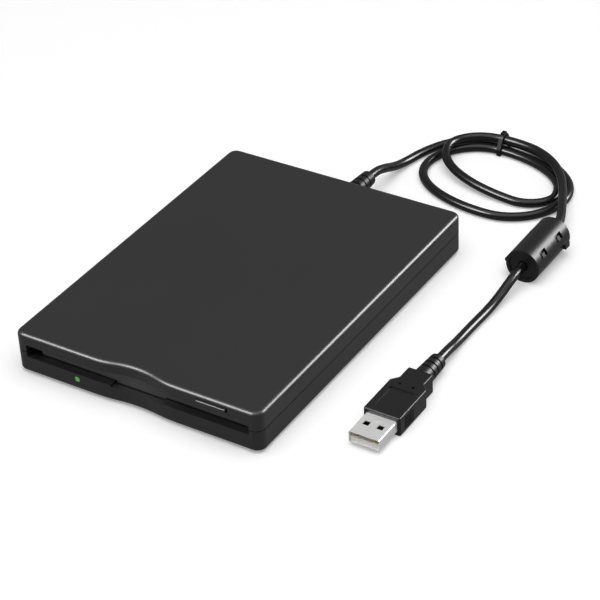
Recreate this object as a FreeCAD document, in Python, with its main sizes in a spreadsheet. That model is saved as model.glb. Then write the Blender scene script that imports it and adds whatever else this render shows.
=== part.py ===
import FreeCAD, Part
import math
import os
import Sketcher
from FreeCAD import Placement, Rotation, Vector

# External floppy disk drive on its USB lead. Millimetres, +Z up, -Y is the slot side.
# The origin is on the table, under the middle of the drive's case.

SIZES = {
    # Case
    "case_width": 103.0,
    "case_depth": 142.0,
    "case_height": 16.0,
    "foot_height": 1.0,
    "parting_height": 8.35,
    "wall": 1.6,
    "corner_radius": 3.6,
    "top_edge_radius": 1.7,
    "bottom_edge_radius": 1.1,
    "top_scoop_depth": 2.3,
    "bottom_scoop_depth": 1.2,
    "scoop_half_width": 17.0,
    "seam_gap": 0.3,
    # Front openings
    "slot_margin_left": 5.0,
    "slot_margin_right": 4.6,
    "slot_low": 6.6,
    "slot_top": 12.8,
    "front_lip_low": 11.6,
    "lip_notch_left": 10.5,
    "lip_notch_right": 11.5,
    "lip_notch_depth": 0.8,
    "button_inset": 19.0,
    "button_width": 11.6,
    "button_height": 1.5,
    "button_depth": 7.0,
    "button_gap": 0.1,
    "button_reach": 1.0,
    "button_corner": 0.45,
    "light_inset": 26.7,
    "light_height": 4.2,
    "light_diameter": 2.1,
    "light_length": 8.4,
    # Flap
    "flap_margin_left": 9.5,
    "flap_margin_right": 5.0,
    "flap_thickness": 0.8,
    "flap_setback": 3.3,
    "flap_pivot_height": 12.0,
    "flap_drop": 5.0,
    "flap_barrel_diameter": 1.2,
    "flap_pin_diameter": 0.8,
    "flap_tab_depth": 0.8,
    "pin_clearance": 0.05,
    # Feet and screws
    "foot_diameter": 9.0,
    "foot_recess": 0.5,
    "foot_inset_side": 13.0,
    "foot_inset_end": 14.0,
    "screw_inset_side": 7.5,
    "screw_inset_end": 9.0,
    "screw_head_diameter": 3.8,
    "screw_head_height": 1.0,
    "screw_shank_diameter": 1.9,
    "screw_length": 9.0,
    "screw_boss_diameter": 5.6,
    # Frame of the mechanism
    "frame_inset_side": 3.6,
    "frame_inset_front": 5.0,
    "frame_inset_back": 15.0,
    "frame_low": 3.8,
    "frame_sheet": 0.6,
    "frame_wall_height": 5.6,
    "frame_post_diameter": 5.0,
    "post_inset_side": 6.5,
    "post_inset_front": 13.0,
    "post_inset_back": 22.0,
    "sheet": 0.5,
    "fit_gap": 0.4,
    # Disk holder and its slide
    "holder_inset_side": 6.0,
    "holder_inner_height": 4.4,
    "holder_low": 7.4,
    "holder_inset_front": 9.9,
    "holder_inset_back": 43.0,
    "holder_flange": 5.0,
    "holder_pin_diameter": 1.2,
    "holder_pin_inset_front": 25.0,
    "holder_pin_inset_back": 53.0,
    "holder_drop": 1.9,
    "eject_travel": 5.5,
    "slide_low": 13.6,
    "slide_inset_front": 15.0,
    "slide_inset_back": 45.0,
    "slide_wall_height": 7.2,
    "arm_window_half": 5.4,
    # Shutter lever
    "lever_inset_side": 10.5,
    "lever_inset_back": 47.0,
    "lever_reach": 30.0,
    "lever_thickness": 0.7,
    "lever_width": 4.0,
    "lever_pin_diameter": 1.8,
    "lever_turn": 84.0,
    # Spindle
    "spindle_inset_back": 89.0,
    "rotor_radius": 20.0,
    "rotor_height": 1.7,

    "hub_radius": 12.0,
    "hub_height": 0.7,
    "hub_pin_radius": 2.0,
    "hub_pin_height": 1.1,
    "spindle_shaft_radius": 1.5,
    "bush_radius": 4.0,
    "stator_radius": 17.6,
    "stator_inner_radius": 7.0,
    "stator_teeth": 12,
    "tooth_width": 2.2,
    # Head carriage
    "track_radius": 39.5,
    "rod_side": 10.0,
    "rod_height": 4.2,
    "rod_diameter": 2.0,
    "rod_running_gap": 0.03,
    "screw_side": 14.0,
    "screw_diameter": 2.4,
    "screw_pitch": 3.0,
    "motor_diameter": 8.2,
    "motor_length": 9.5,
    "arm_width": 9.0,
    "arm_thickness": 0.8,
    # Boards
    "board_low": 2.2,
    "board_thickness": 0.8,
    "link_board_low": 5.0,
    "link_post_inset": 17.5,
    "rib_thickness": 2.0,
    "rib_spacing": 30.0,
    "board_inset_side": 9.5,
    "board_inset_front": 9.0,
    "board_inset_back": 17.0,
    "ribbon_width": 14.0,
    "ribbon_inset": 13.5,
    "ribbon_thickness": 0.25,
    # Lead
    "cord_diameter": 3.6,
    "route_case_width": 103.0,
    "route_case_depth": 142.0,
    "relief_place": 1.5,
    "relief_diameter": 8.2,
    "relief_end_diameter": 6.2,
    "relief_length": 15.6,
    "relief_groove": 0.7,
    "relief_groove_depth": 0.8,
    # Ferrite case
    "ferrite_place_side": 81.25,
    "ferrite_place": 75.5,
    "ferrite_length": 26.0,
    "ferrite_width": 13.6,
    "ferrite_wall": 1.2,
    "ferrite_core_gap": 0.2,
    # Plug
    "plug_side": 80.0,
    "plug_front": 51.5,
    "plug_shell_width": 12.0,
    "plug_shell_height": 4.5,
    "plug_shell_length": 11.8,
    "plug_shell_sheet": 0.3,
    "plug_shell_corner": 0.6,
    "plug_grip_width": 14.4,
    "plug_grip_height": 7.6,
    "plug_grip_length": 21.0,
    "plug_neck_width": 9.8,
    "plug_neck_length": 6.5,
    "plug_shoulder": 2.6,
    "plug_boot_length": 12.0,
    "plug_boot_diameter": 7.4,
    "plug_boot_end": 6.2,
    "plug_edge": 0.8,
}


class Size:
    """A length that carries its value and the sheet formula that gives it."""

    def __init__(self, value, text):
        self.value = float(value)
        self.text = text

    def __add__(self, other):
        other = as_size(other)
        return Size(self.value + other.value, f"({self.text} + {other.text})")

    def __radd__(self, other):
        return as_size(other) + self

    def __sub__(self, other):
        other = as_size(other)
        return Size(self.value - other.value, f"({self.text} - {other.text})")

    def __rsub__(self, other):
        return as_size(other) - self

    def __mul__(self, other):
        other = as_size(other)
        return Size(self.value * other.value, f"({self.text} * {other.text})")

    def __rmul__(self, other):
        return as_size(other) * self

    def __truediv__(self, other):
        other = as_size(other)
        return Size(self.value / other.value, f"({self.text} / {other.text})")

    def __neg__(self):
        return Size(-self.value, f"(0 - {self.text})")

    def __float__(self):
        return self.value


def as_size(number):
    if isinstance(number, Size):
        return number
    return Size(number, repr(float(number)))


doc = FreeCAD.newDocument("floppy_drive")
sheet = doc.addObject("Spreadsheet::Sheet", "Sizes")
for row, (alias, number) in enumerate(SIZES.items(), start=1):
    sheet.set(f"A{row}", alias)
    sheet.set(f"B{row}", str(number))
    sheet.setAlias(f"B{row}", alias)
doc.recompute()

PIECES = []


def size(alias):
    return Size(sheet.get(alias), f"Sizes.{alias}")


def bind(item, path, number):
    item.setExpression(path, as_size(number).text)


def place(item, x, y, z, rotation=None):
    item.Placement = Placement(Vector(float(x), float(y), float(z)), rotation or Rotation())
    for axis, number in zip("xyz", (x, y, z)):
        bind(item, f".Placement.Base.{axis}", number)


def piece(item, name):
    """Marks a finished sub-part and gives it its name."""
    item.Label = name
    PIECES.append(item)
    return item


def block(low, high):
    """A box between two corners."""
    item = doc.addObject("Part::Box", "block")
    for path, start, end in zip(("Length", "Width", "Height"), low, high):
        bind(item, path, as_size(end) - start)
    place(item, *low)
    return item


TURN_TO = {
    "+X": Rotation(Vector(0, 0, 1), Vector(1, 0, 0)),
    "+Y": Rotation(Vector(0, 0, 1), Vector(0, 1, 0)),
    "-Y": Rotation(Vector(0, 0, 1), Vector(0, -1, 0)),
    "+Z": Rotation(),
}


def rod(start, radius, length, axis="+Z"):
    """A cylinder from the middle of its first end."""
    item = doc.addObject("Part::Cylinder", "rod")
    bind(item, "Radius", radius)
    bind(item, "Height", length)
    place(item, *start, TURN_TO[axis])
    return item


def cone(start, radius, end_radius, length, axis="+Z"):
    item = doc.addObject("Part::Cone", "cone")
    bind(item, "Radius1", radius)
    bind(item, "Radius2", end_radius)
    bind(item, "Height", length)
    place(item, *start, TURN_TO[axis])
    return item


def fuse(*items):
    if len(items) == 1:
        return items[0]
    item = doc.addObject("Part::MultiFuse", "joined")
    item.Shapes = list(items)
    return item


def group(*items):
    """Separate solids that share one node."""
    item = doc.addObject("Part::Compound", "set")
    item.Links = list(items)
    return item


def cut(base, *tools):
    item = doc.addObject("Part::Cut", "shaped")
    item.Base = base
    item.Tool = fuse(*tools)
    return item


def shaped(name, shape):
    """A sub-part whose shape is worked out here from the sheet's sizes."""
    item = doc.addObject("Part::Feature", name)
    item.Shape = shape
    return piece(item, name)


# Values that several sub-parts share
half_width = size("case_width") / 2
half_depth = size("case_depth") / 2
slot_left = half_width - size("slot_margin_left")
slot_right = half_width - size("slot_margin_right")
flap_left = half_width - size("flap_margin_left")
flap_right = half_width - size("flap_margin_right")
light_x = half_width - size("light_inset")
screw_x_side = half_width - size("screw_inset_side")
screw_y_end = half_depth - size("screw_inset_end")
frame_half = half_width - size("frame_inset_side")
frame_front = half_depth - size("frame_inset_front")
frame_back = half_depth - size("frame_inset_back")
post_x = half_width - size("post_inset_side")
post_front = half_depth - size("post_inset_front")
post_back = half_depth - size("post_inset_back")
holder_front = half_depth - size("holder_inset_front")
holder_back = half_depth - size("holder_inset_back")
pin_front = half_depth - size("holder_pin_inset_front")
pin_back = half_depth - size("holder_pin_inset_back")
slide_front = half_depth - size("slide_inset_front")
slide_back = half_depth - size("slide_inset_back")
lever_x = half_width - size("lever_inset_side")
lever_y = half_depth - size("lever_inset_back")
wall = size("wall")
case_low = size("foot_height")
case_top = case_low + size("case_height")
parting = case_low + size("parting_height")
floor_top = case_low + wall
ceiling = case_top - wall
slot_low = case_low + size("slot_low")
slot_top = case_low + size("slot_top")
fit_gap = size("fit_gap")
thin = size("sheet")
spindle_y = half_depth - size("spindle_inset_back")
board_low = case_low + size("board_low")
board_top = board_low + size("board_thickness")
frame_low = case_low + size("frame_low")
frame_top = frame_low + size("frame_sheet")
holder_low = case_low + size("holder_low")
holder_top = holder_low + size("holder_inner_height")
holder_half = half_width - size("holder_inset_side")
slide_low = case_low + size("slide_low")
head_y = spindle_y + size("track_radius")
button_x = half_width - size("button_inset")
ribbon_right = half_width - size("ribbon_inset")
button_low = slot_top + size("button_gap")
button_top = button_low + size("button_height")
button_back = -half_depth + size("button_depth")
cord_radius = size("cord_diameter") / 2


# Sketches and shells
def plane_of(body, role):
    return next(item for item in body.Origin.OriginFeatures if item.Role == role)


def add_outline(sketch, corners, bends=None):
    """Closed outline through corners. bends gives some sides a radius and the side of its centre."""
    bends = bends or {}
    points = [Vector(float(x), float(y), 0) for x, y in corners]
    ends = []
    for number, start in enumerate(points):
        end = points[(number + 1) % len(points)]
        if number not in bends:
            sketch.addGeometry(Part.LineSegment(start, end))
            ends.append((1, 2))
            continue
        radius, turn = bends[number]
        chord = end - start
        left = Vector(-chord.y, chord.x, 0).normalize()
        rise = math.sqrt(float(radius) ** 2 - (chord.Length / 2) ** 2)
        centre = (start + end) / 2 + left * (turn * rise)
        first, last = (start, end) if turn > 0 else (end, start)
        angles = [math.atan2(p.y - centre.y, p.x - centre.x) for p in (first, last)]
        circle = Part.Circle(centre, Vector(0, 0, 1), float(radius))
        sketch.addGeometry(Part.ArcOfCircle(circle, *angles))
        ends.append((1, 2) if turn > 0 else (2, 1))
    for number in range(len(points)):
        after = (number + 1) % len(points)
        pair = (number, ends[number][1], after, ends[after][0])
        sketch.addConstraint(Sketcher.Constraint("Coincident", *pair))
    for number, (x, y) in enumerate(corners):
        for kind, distance in (("DistanceX", x), ("DistanceY", y)):
            ends_of = (-1, 1, number, ends[number][0])
            index = sketch.addConstraint(Sketcher.Constraint(kind, *ends_of, float(distance)))
            bind(sketch, f"Constraints[{index}]", distance)
    for number, (radius, turn) in bends.items():
        index = sketch.addConstraint(Sketcher.Constraint("Radius", number, float(radius)))
        bind(sketch, f"Constraints[{index}]", radius)


def add_sketch(body, corners, role="XY_Plane", offset=0.0, bends=None):
    sketch = body.newObject("Sketcher::SketchObject", "Sketch")
    sketch.AttachmentSupport = [(plane_of(body, role), "")]
    sketch.MapMode = "FlatFace"
    bind(sketch, ".AttachmentOffset.Base.z", offset)
    add_outline(sketch, corners, bends)
    return sketch


def add_pad(body, sketch, length, reverse=False):
    pad = body.newObject("PartDesign::Pad", "Pad")
    pad.Profile = sketch
    pad.Reversed = reverse
    bind(pad, "Length", length)
    doc.recompute()
    return pad


def add_pocket(body, sketch, length, reverse=False):
    before = body.Shape.Volume
    pocket = body.newObject("PartDesign::Pocket", "Pocket")
    pocket.Profile = sketch
    pocket.Reversed = reverse
    bind(pocket, "Length", length)
    doc.recompute()
    assert body.Shape.Volume < before, "a pocket that cuts nothing"
    return pocket


def add_fillet(body, radius, chosen):
    """Rounds the edges of the body's tip for which chosen says yes."""
    edges = body.Shape.Edges
    names = [f"Edge{n}" for n, edge in enumerate(edges, start=1) if chosen(edge)]
    base = body.Tip
    fillet = body.newObject("PartDesign::Fillet", "Fillet")
    fillet.Base = (base, names)
    bind(fillet, "Radius", radius)
    doc.recompute()
    return fillet


def is_upright(edge, corners):
    """True for an upright edge that stands on one of the corners."""
    middle = edge.BoundBox.Center
    flat = edge.BoundBox.XLength < 0.01 and edge.BoundBox.YLength < 0.01
    near = [math.hypot(middle.x - float(x), middle.y - float(y)) < 0.05 for x, y in corners]
    return flat and any(near)


def lies_at(edge, height):
    box = edge.BoundBox
    return abs(box.ZMin - float(height)) < 0.01 and abs(box.ZMax - float(height)) < 0.01


def case_outline(scoop_depth):
    """The case in plan, with the finger scoop as three tangent arcs in its front edge."""
    reach = size("scoop_half_width")
    radius = (reach * reach + scoop_depth * scoop_depth) / (4 * scoop_depth)
    front = -half_depth
    corners = [
        (-half_width, front),
        (-reach, front),
        (-reach / 2, front + scoop_depth / 2),
        (reach / 2, front + scoop_depth / 2),
        (reach, front),
        (half_width, front),
        (half_width, half_depth),
        (-half_width, half_depth),
    ]
    return corners, {1: (radius, 1), 2: (radius, -1), 3: (radius, 1)}


CASE_CORNERS = [(sx * half_width, sy * half_depth) for sx in (-1, 1) for sy in (-1, 1)]
front_inside = -half_depth + size("top_scoop_depth") + wall * 1.55


def case_shell(label, low, high, scoop_depth, rim, rim_radius, inside_low, inside_high):
    """One half of the case: the outline raised, its corners and outer rim rounded, hollowed out."""
    body = doc.addObject("PartDesign::Body", label)
    corners, bends = case_outline(scoop_depth)
    add_pad(body, add_sketch(body, corners, offset=low, bends=bends), high - low)
    add_fillet(body, size("corner_radius"), lambda edge: is_upright(edge, CASE_CORNERS))
    add_fillet(body, rim_radius, lambda edge: lies_at(edge, rim))
    side = half_width - wall
    back = half_depth - wall
    inside = [(-side, front_inside), (side, front_inside), (side, back), (-side, back)]
    add_pocket(body, add_sketch(body, inside, offset=inside_high), inside_high - inside_low)
    inner = size("corner_radius") - wall
    rear = [(-side, back), (side, back)]
    add_fillet(body, inner, lambda edge: is_upright(edge, rear))
    return body


def slot_tool(low, high):
    """The disk slot through the front wall, from low to high."""
    return block((-slot_left, -half_depth - 1, low), (slot_right, front_inside + 1, high))


def relief_hole():
    """Where the two halves of the case grip the strain relief."""
    start = (size("relief_place"), half_depth - wall - 1, parting)
    return rod(start, size("relief_end_diameter") / 2, wall + 2, "+Y")


def top_shell():
    seam = parting + size("seam_gap")
    body = case_shell("top_case", seam, case_top, size("top_scoop_depth"), case_top,
                      size("top_edge_radius"), seam, ceiling)
    gap = fit_gap
    button_half = size("button_width") / 2 + gap
    button_hole = block((button_x - button_half, -half_depth - 1, button_low - gap / 2),
                        (button_x + button_half, button_back + gap, button_top + gap / 2))
    lip_low = case_low + size("front_lip_low")
    lip_back = flap_y - size("flap_barrel_diameter") / 2 - gap
    behind_lip = block((-slot_left, lip_back, lip_low - 1), (slot_right, front_inside + 1, slot_top))
    pin_radius = size("flap_pin_diameter") / 2 + size("pin_clearance")
    pin_start = (-slot_left - 1.2, flap_y, flap_z)
    pin_hole = rod(pin_start, pin_radius, slot_left + slot_right + 2.4, "+X")
    boss_radius = size("screw_boss_diameter") / 2
    bosses = []
    bores = []
    for side in (-1, 1):
        x = side * screw_x_side
        bosses.append(rod((x, screw_y_end, seam), boss_radius, ceiling - seam + 0.2))
        bores.append(rod((x, screw_y_end, seam - 1), size("screw_shank_diameter") / 2, 4.2))
    shell = cut(fuse(body, *bosses), slot_tool(seam - 1, lip_low), behind_lip, button_hole,
                pin_hole, relief_hole(), *bores)
    return piece(shell, "top_shell")


flap_y = -half_depth + size("flap_setback") + size("flap_barrel_diameter") / 2
flap_z = case_low + size("flap_pivot_height")


def frame_posts():
    places = []
    for side in (-1, 1):
        for y in (-post_front, post_back):
            places.append((side * post_x, y))
    return places


def feet_places():
    side = half_width - size("foot_inset_side")
    end = half_depth - size("foot_inset_end")
    return [(sx * side, sy * end) for sx in (-1, 1) for sy in (-1, 1)]


def bottom_shell():
    body = case_shell("bottom_case", case_low, parting, size("bottom_scoop_depth"), case_low,
                      size("bottom_edge_radius"), floor_top, parting)
    added = []
    removed = [slot_tool(slot_low, parting + 1), relief_hole()]
    notch_low = slot_low - size("lip_notch_depth")
    removed.append(block((-size("lip_notch_left"), -half_depth - 1, notch_low),
                         (size("lip_notch_right"), front_inside + 1, slot_low + 1)))
    light = (-light_x, -half_depth - 1, case_low + size("light_height"))
    removed.append(rod(light, size("light_diameter") / 2 + 0.05, wall * 4, "+Y"))
    for x, y in feet_places():
        removed.append(rod((x, y, case_low - 1), size("foot_diameter") / 2 + 0.05, size("foot_recess") + 1))
    for x, y in frame_posts():
        added.append(rod((x, y, floor_top - 0.2), size("frame_post_diameter") / 2,
                         frame_low - floor_top + 0.2))
        removed.append(rod((x, y, floor_top + 0.4), size("screw_shank_diameter") / 2, 4))
    for side in (-1, 1):
        x = side * screw_x_side
        y = screw_y_end
        added.append(rod((x, y, floor_top - 0.2), size("screw_boss_diameter") / 2,
                         parting - floor_top + 0.2))
        removed.append(rod((x, y, case_low - 1), size("screw_shank_diameter") / 2 + 0.05,
                           parting - case_low + 2))
        removed.append(rod((x, y, case_low - 1), size("screw_head_diameter") / 2 + 0.1,
                           size("screw_head_height") + 1.3))
    rib = size("rib_thickness") / 2
    for side in (-1, 0, 1):
        x = side * size("rib_spacing")
        added.append(block((x - rib, spindle_y - 2, floor_top - 0.2), (x + rib, spindle_y + 38, board_low)))
    for side in (-1, 1):
        x = side * (half_width - size("link_post_inset"))
        low = (x - 2, screw_y_end - 4, floor_top - 0.2)
        added.append(block(low, (x + 2, screw_y_end, link_low)))
    return piece(cut(fuse(body, *added), *removed), "bottom_shell")


link_low = case_low + size("link_board_low")


def rubber_feet():
    height = case_low + size("foot_recess")
    discs = [rod((x, y, 0), size("foot_diameter") / 2, height) for x, y in feet_places()]
    return piece(group(*discs), "rubber_feet")


def case_screws():
    screws = []
    for side in (-1, 1):
        x = side * screw_x_side
        y = screw_y_end
        head_low = case_low + 0.3
        head = rod((x, y, head_low), size("screw_head_diameter") / 2, size("screw_head_height"))
        shank = rod((x, y, head_low), size("screw_shank_diameter") / 2, size("screw_length"))
        screws.append(fuse(head, shank))
    return piece(group(*screws), "case_screws")


def status_light():
    start = (-light_x, -half_depth + 0.1, case_low + size("light_height"))
    return piece(rod(start, size("light_diameter") / 2, size("light_length"), "+Y"), "status_light")


def dust_flap():
    """Flap that hangs from its barrel in the slot, with a tab that drops into the lip's notch."""
    front = -half_depth + size("flap_setback")
    back = front + size("flap_thickness")
    left = -flap_left
    right = flap_right
    low = flap_z - size("flap_drop")
    barrel_radius = size("flap_barrel_diameter") / 2
    plate = block((left, front, low), (right, back, flap_z))
    tab = block((-size("lip_notch_left") + 0.8, front, low - size("flap_tab_depth")),
                (size("lip_notch_right") - 0.6, back, low + 0.5))
    barrel = rod((left, flap_y, flap_z), barrel_radius, right - left, "+X")
    pin_left = -slot_left - 1
    pin = rod((pin_left, flap_y, flap_z), size("flap_pin_diameter") / 2,
              slot_right + 1 - pin_left, "+X")
    return piece(fuse(plate, tab, barrel, pin), "dust_flap")


def eject_button():
    """Key with its two lower corners cut off."""
    body = doc.addObject("PartDesign::Body", "button_body")
    half = size("button_width") / 2
    corner = size("button_corner")
    corners = [
        (button_x - half, button_top),
        (button_x - half, button_low + corner),
        (button_x - half + corner, button_low),
        (button_x + half - corner, button_low),
        (button_x + half, button_low + corner),
        (button_x + half, button_top),
    ]
    reach = half_depth + size("button_reach")
    sketch = add_sketch(body, corners, "XZ_Plane", reach)
    add_pad(body, sketch, size("button_depth") + size("button_reach"), reverse=True)
    add_fillet(body, 0.35, lambda edge: edge.BoundBox.YMax < -float(reach) + 0.01)
    return piece(body, "eject_button")


# Frame of the mechanism
pin_rest = holder_low + size("holder_pin_diameter") + 0.1
spring_front = spindle_y - 2.4
spring_back = spindle_y + 16.2
pin_places = (-pin_front, pin_back)
slide_half = holder_half + thin + fit_gap + thin
rod_x = -size("rod_side")
rod_z = case_low + size("rod_height")
screw_x = size("screw_side")
screw_z = frame_top + 1.6
screw_start = head_y + 5.2
motor_front = frame_back - size("motor_length") - 0.4


def chassis_frame():
    front = -frame_front
    back = frame_back
    base = block((-frame_half, front, frame_low), (frame_half, back, frame_top))
    added = [base]
    removed = []
    pin_half = size("holder_pin_diameter") / 2 + 0.2
    for side in (-1, 1):
        x = (-frame_half, frame_half - thin)[side > 0]
        added.append(block((x, front + 2, frame_low),
                           (x + thin, back - 6, frame_top + size("frame_wall_height"))))
        for y in pin_places:
            low = pin_rest - size("holder_drop") - pin_half - 0.1
            removed.append(block((x - 1, y - pin_half, low),
                                 (x + thin + 1, y + pin_half, pin_rest + pin_half + 0.1)))
        anchor_x = (-frame_half - 1.5, frame_half - thin)[side > 0]
        added.append(block((anchor_x, spring_back, frame_top + 5),
                           (anchor_x + 1.5 + thin, spring_back + 0.6, frame_top + 7)))
    removed.append(rod((0, spindle_y, frame_low - 1), size("rotor_radius") + 1, 4))
    removed.append(block((rod_x - 3.5, head_y - 17.5, frame_low - 1),
                         (screw_x - 1.1, back - 2, frame_top + 1)))
    removed.append(block((screw_x - 4.7, motor_front - 0.3, frame_low - 1),
                         (screw_x + 4.7, back + 1, frame_top + 1)))
    removed.append(block((-light_x - 2.5, front - 1, frame_low - 1),
                         (-light_x + 2.5, front + 6.5, frame_top + 1)))
    ribbon_left = ribbon_right - size("ribbon_width")
    removed.append(block((ribbon_left - 1.4, back - 10.4, frame_low - 1),
                         (ribbon_right + 1.4, back + 1, frame_top + 1)))
    for x, y in frame_posts():
        removed.append(rod((x, y, frame_low - 1), size("screw_shank_diameter") / 2 + 0.1, 3))
    for x, y in switch_places():
        removed.append(rod((x, y, frame_low - 1), 1.2, 3))
    for y in (head_y - 20.3, back - 2.4):
        added.append(block((rod_x - 2.6, y, frame_low), (rod_x + 2.6, y + 2.2, rod_z + 1.8)))
        removed.append(rod((rod_x, y - 1, rod_z), size("rod_diameter") / 2, 4.2, "+Y"))
    added.append(block((screw_x - 2, screw_start - 0.1, frame_low),
                       (screw_x + 2, screw_start + 0.9, screw_z + 1.4)))
    removed.append(rod((screw_x, screw_start - 0.7, screw_z), 0.65, 3, "+Y"))
    return piece(cut(fuse(*added), *removed), "chassis_frame")


def switch_places():
    y = -post_front - 2
    outer = post_x - 9
    return [(-outer, y), (outer, y), (outer - 6, y)]


def chassis_screws():
    screws = []
    for x, y in frame_posts():
        head = rod((x, y, frame_top), size("screw_head_diameter") / 2, 0.4)
        shank = rod((x, y, frame_top - 2.3), size("screw_shank_diameter") / 2, 2.3)
        screws.append(fuse(head, shank))
    return piece(group(*screws), "chassis_screws")


def disk_holder():
    """Folded sheet tray that the disk slides into, with four pins that ride in the frame."""
    outer = holder_half + thin
    front = -holder_front
    back = holder_back
    plate = block((-outer, front, holder_top), (outer, back, holder_top + thin))
    added = [plate]
    for side in (-1, 1):
        x = (-outer, holder_half)[side > 0]
        added.append(block((x, front, holder_low - thin), (x + thin, back, holder_top + thin)))
        lip = (-outer, holder_half - size("holder_flange"))[side > 0]
        added.append(block((lip, front, holder_low - thin),
                           (lip + size("holder_flange") + thin, back, holder_low)))
        for y in pin_places:
            start = (-frame_half + 0.2, holder_half + 0.1)[side > 0]
            length = frame_half - 0.2 - holder_half - 0.1
            added.append(rod((start, y, pin_rest), size("holder_pin_diameter") / 2, length, "+X"))
    window = block((-size("arm_window_half"), head_y - 19.5, holder_top - 1),
                   (size("arm_window_half"), back + 1, holder_top + 2))
    post = rod((lever_x, lever_y, holder_top), 0.95, 1.5)
    return piece(fuse(cut(fuse(*added), window, lever_track()), post), "disk_holder")


def lever_track():
    """Curved slot that the shutter lever's pin sweeps."""
    half = size("lever_pin_diameter") / 2 + 0.4
    reach = size("lever_reach")
    centre = Vector(float(lever_x), float(lever_y), float(holder_top) - 1)
    start = math.radians(-90 - 2 - float(size("lever_turn")))
    stop = math.radians(-90 + 2)
    outline = []
    for radius in (float(reach + half), float(reach - half)):
        circle = Part.Circle(centre, Vector(0, 0, 1), radius)
        outline.append(Part.ArcOfCircle(circle, start, stop).toShape())
    sides = []
    for angle in (start, stop):
        arm = Vector(math.cos(angle), math.sin(angle), 0)
        sides.append(Part.makeLine(centre + arm * float(reach - half), centre + arm * float(reach + half)))
    wire = Part.Wire(Part.__sortEdges__(outline + sides))
    item = doc.addObject("Part::Feature", "lever_track")
    item.Shape = Part.Face(wire).extrude(Vector(0, 0, 3))
    return item


def shutter_lever():
    x = lever_x
    y = lever_y
    low = holder_top + thin + 0.2
    half = size("lever_width") / 2
    high = low + size("lever_thickness")
    plate = block((x - half, y - size("lever_reach"), low), (x + half, y, high))
    ends = [rod((x, y - size("lever_reach") * step, low), half, size("lever_thickness")) for step in (0, 1)]
    pin = rod((x, y - size("lever_reach"), holder_low + 0.6), size("lever_pin_diameter") / 2,
              low - holder_low - 0.5)
    bore = rod((x, y, low - 1), 0.95 + size("pin_clearance"), 4)
    return piece(cut(fuse(plate, pin, *ends), bore), "shutter_lever")


def slide_plate():
    """Plate over the holder. Its walls carry the slanting slots that lift and drop the holder."""
    front = -slide_front
    back = slide_back
    top = block((-slide_half, front, slide_low), (slide_half, back, slide_low + thin))
    added = [top]
    removed = [block((-24, spindle_y - 22, slide_low - 1), (30, spindle_y + 32, slide_low + 2))]
    for side in (-1, 1):
        x = (-slide_half, slide_half - thin)[side > 0]
        added.append(block((x, front, slide_low - size("slide_wall_height") - 0.8),
                           (x + thin, back, slide_low + thin)))
        tab = (-slide_half - 2.4, slide_half)[side > 0]
        added.append(block((tab, spring_front - 0.6, frame_top + 5.9),
                           (tab + 2.4, spring_front, frame_top + 6.6)))
        for y in pin_places:
            removed.append(slanted_slot(x, y))
    half = size("button_width") / 2 - 2
    added.append(block((button_x - half, button_back, slide_low),
                       (button_x + half, front + 1, slide_low + thin)))
    return piece(cut(fuse(*added), *removed), "slide_plate")


def slanted_slot(x, y):
    """The pin's path through a wall of the slide as it travels, with a little room."""
    room = float(size("holder_pin_diameter")) / 2 + 0.15
    along = Vector(0, float(size("eject_travel")), -float(size("holder_drop")))
    start = Vector(float(x) - 1, float(y), float(pin_rest))
    normal = Vector(1, 0, 0)
    across = normal.cross(along).normalize() * room
    unit = Vector(along).normalize() * room
    end = start + along
    edges = [
        Part.makeLine(start + across, end + across),
        Part.Arc(end + across, end + unit, end - across).toShape(),
        Part.makeLine(end - across, start - across),
        Part.Arc(start - across, start - unit, start + across).toShape(),
    ]
    item = doc.addObject("Part::Feature", "slanted_slot")
    item.Shape = Part.Face(Part.Wire(edges)).extrude(Vector(float(thin) + 2, 0, 0))
    return item


# Springs
def coil_shape(start, axis, radius, wire, pitch, turns):
    """Square wire wound from start along axis."""
    helix = Part.makeHelix(pitch, pitch * turns, radius)
    half = wire / 2
    corners = [Vector(radius + x, 0, z) for x,
               z in ((-half, -half), (half, -half), (half, half), (-half, half))]
    section = Part.makePolygon(corners + corners[:1])
    shape = Part.Wire(helix.Edges).makePipeShell([section], True, True)
    shape.Placement = Placement(start, TURN_TO[axis])
    return shape


def slide_springs():
    x = float(frame_half) + 1.0
    height = float(frame_top) + 6.25
    turns = 15
    pitch = (float(spring_back) - float(spring_front) - 1.35) / turns
    start = [Vector(side * x, float(spring_front) + 0.8, height) for side in (-1, 1)]
    coils = [coil_shape(point, "+Y", 0.55, 0.3, pitch, turns) for point in start]
    return shaped("slide_springs", Part.makeCompound(coils))


def flap_spring():
    start = Vector(-float(flap_left) - 3.2, float(flap_y), float(flap_z))
    pin = float(size("flap_pin_diameter")) / 2
    return shaped("flap_spring", coil_shape(start, "+X", pin + 0.28, 0.26, 0.42, 6))


# Spindle motor
hub_low = frame_low + size("rotor_height")


def spindle_bush():
    start = (0, spindle_y, board_top)
    outer = rod(start, size("bush_radius"), frame_low - board_top + 0.3)
    bore = rod((0, spindle_y, board_top - 1), size("spindle_shaft_radius") + 0.03, 5)
    return piece(cut(outer, bore), "spindle_bush")


def stator_core():
    low = board_top + 0.3
    inner = rod((0, spindle_y, low), size("stator_inner_radius") + 2, 0.7)
    arms = []
    step = 360 / SIZES["stator_teeth"]
    for number in range(int(SIZES["stator_teeth"])):
        half = size("tooth_width") / 2
        arm = block((size("stator_inner_radius"), -half, low), (size("stator_radius"), half, low + 0.7))
        arm_turn = doc.addObject("Part::Feature", "tooth")
        doc.recompute()
        shape = arm.Shape.copy()
        shape.rotate(Vector(0, 0, 0), Vector(0, 0, 1), number * step)
        shape.translate(Vector(0, float(spindle_y), 0))
        arm_turn.Shape = shape
        arms.append(arm_turn)
    bore = rod((0, spindle_y, low - 1), size("bush_radius"), 4)
    return piece(cut(fuse(inner, *arms), bore), "stator_core")


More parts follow.
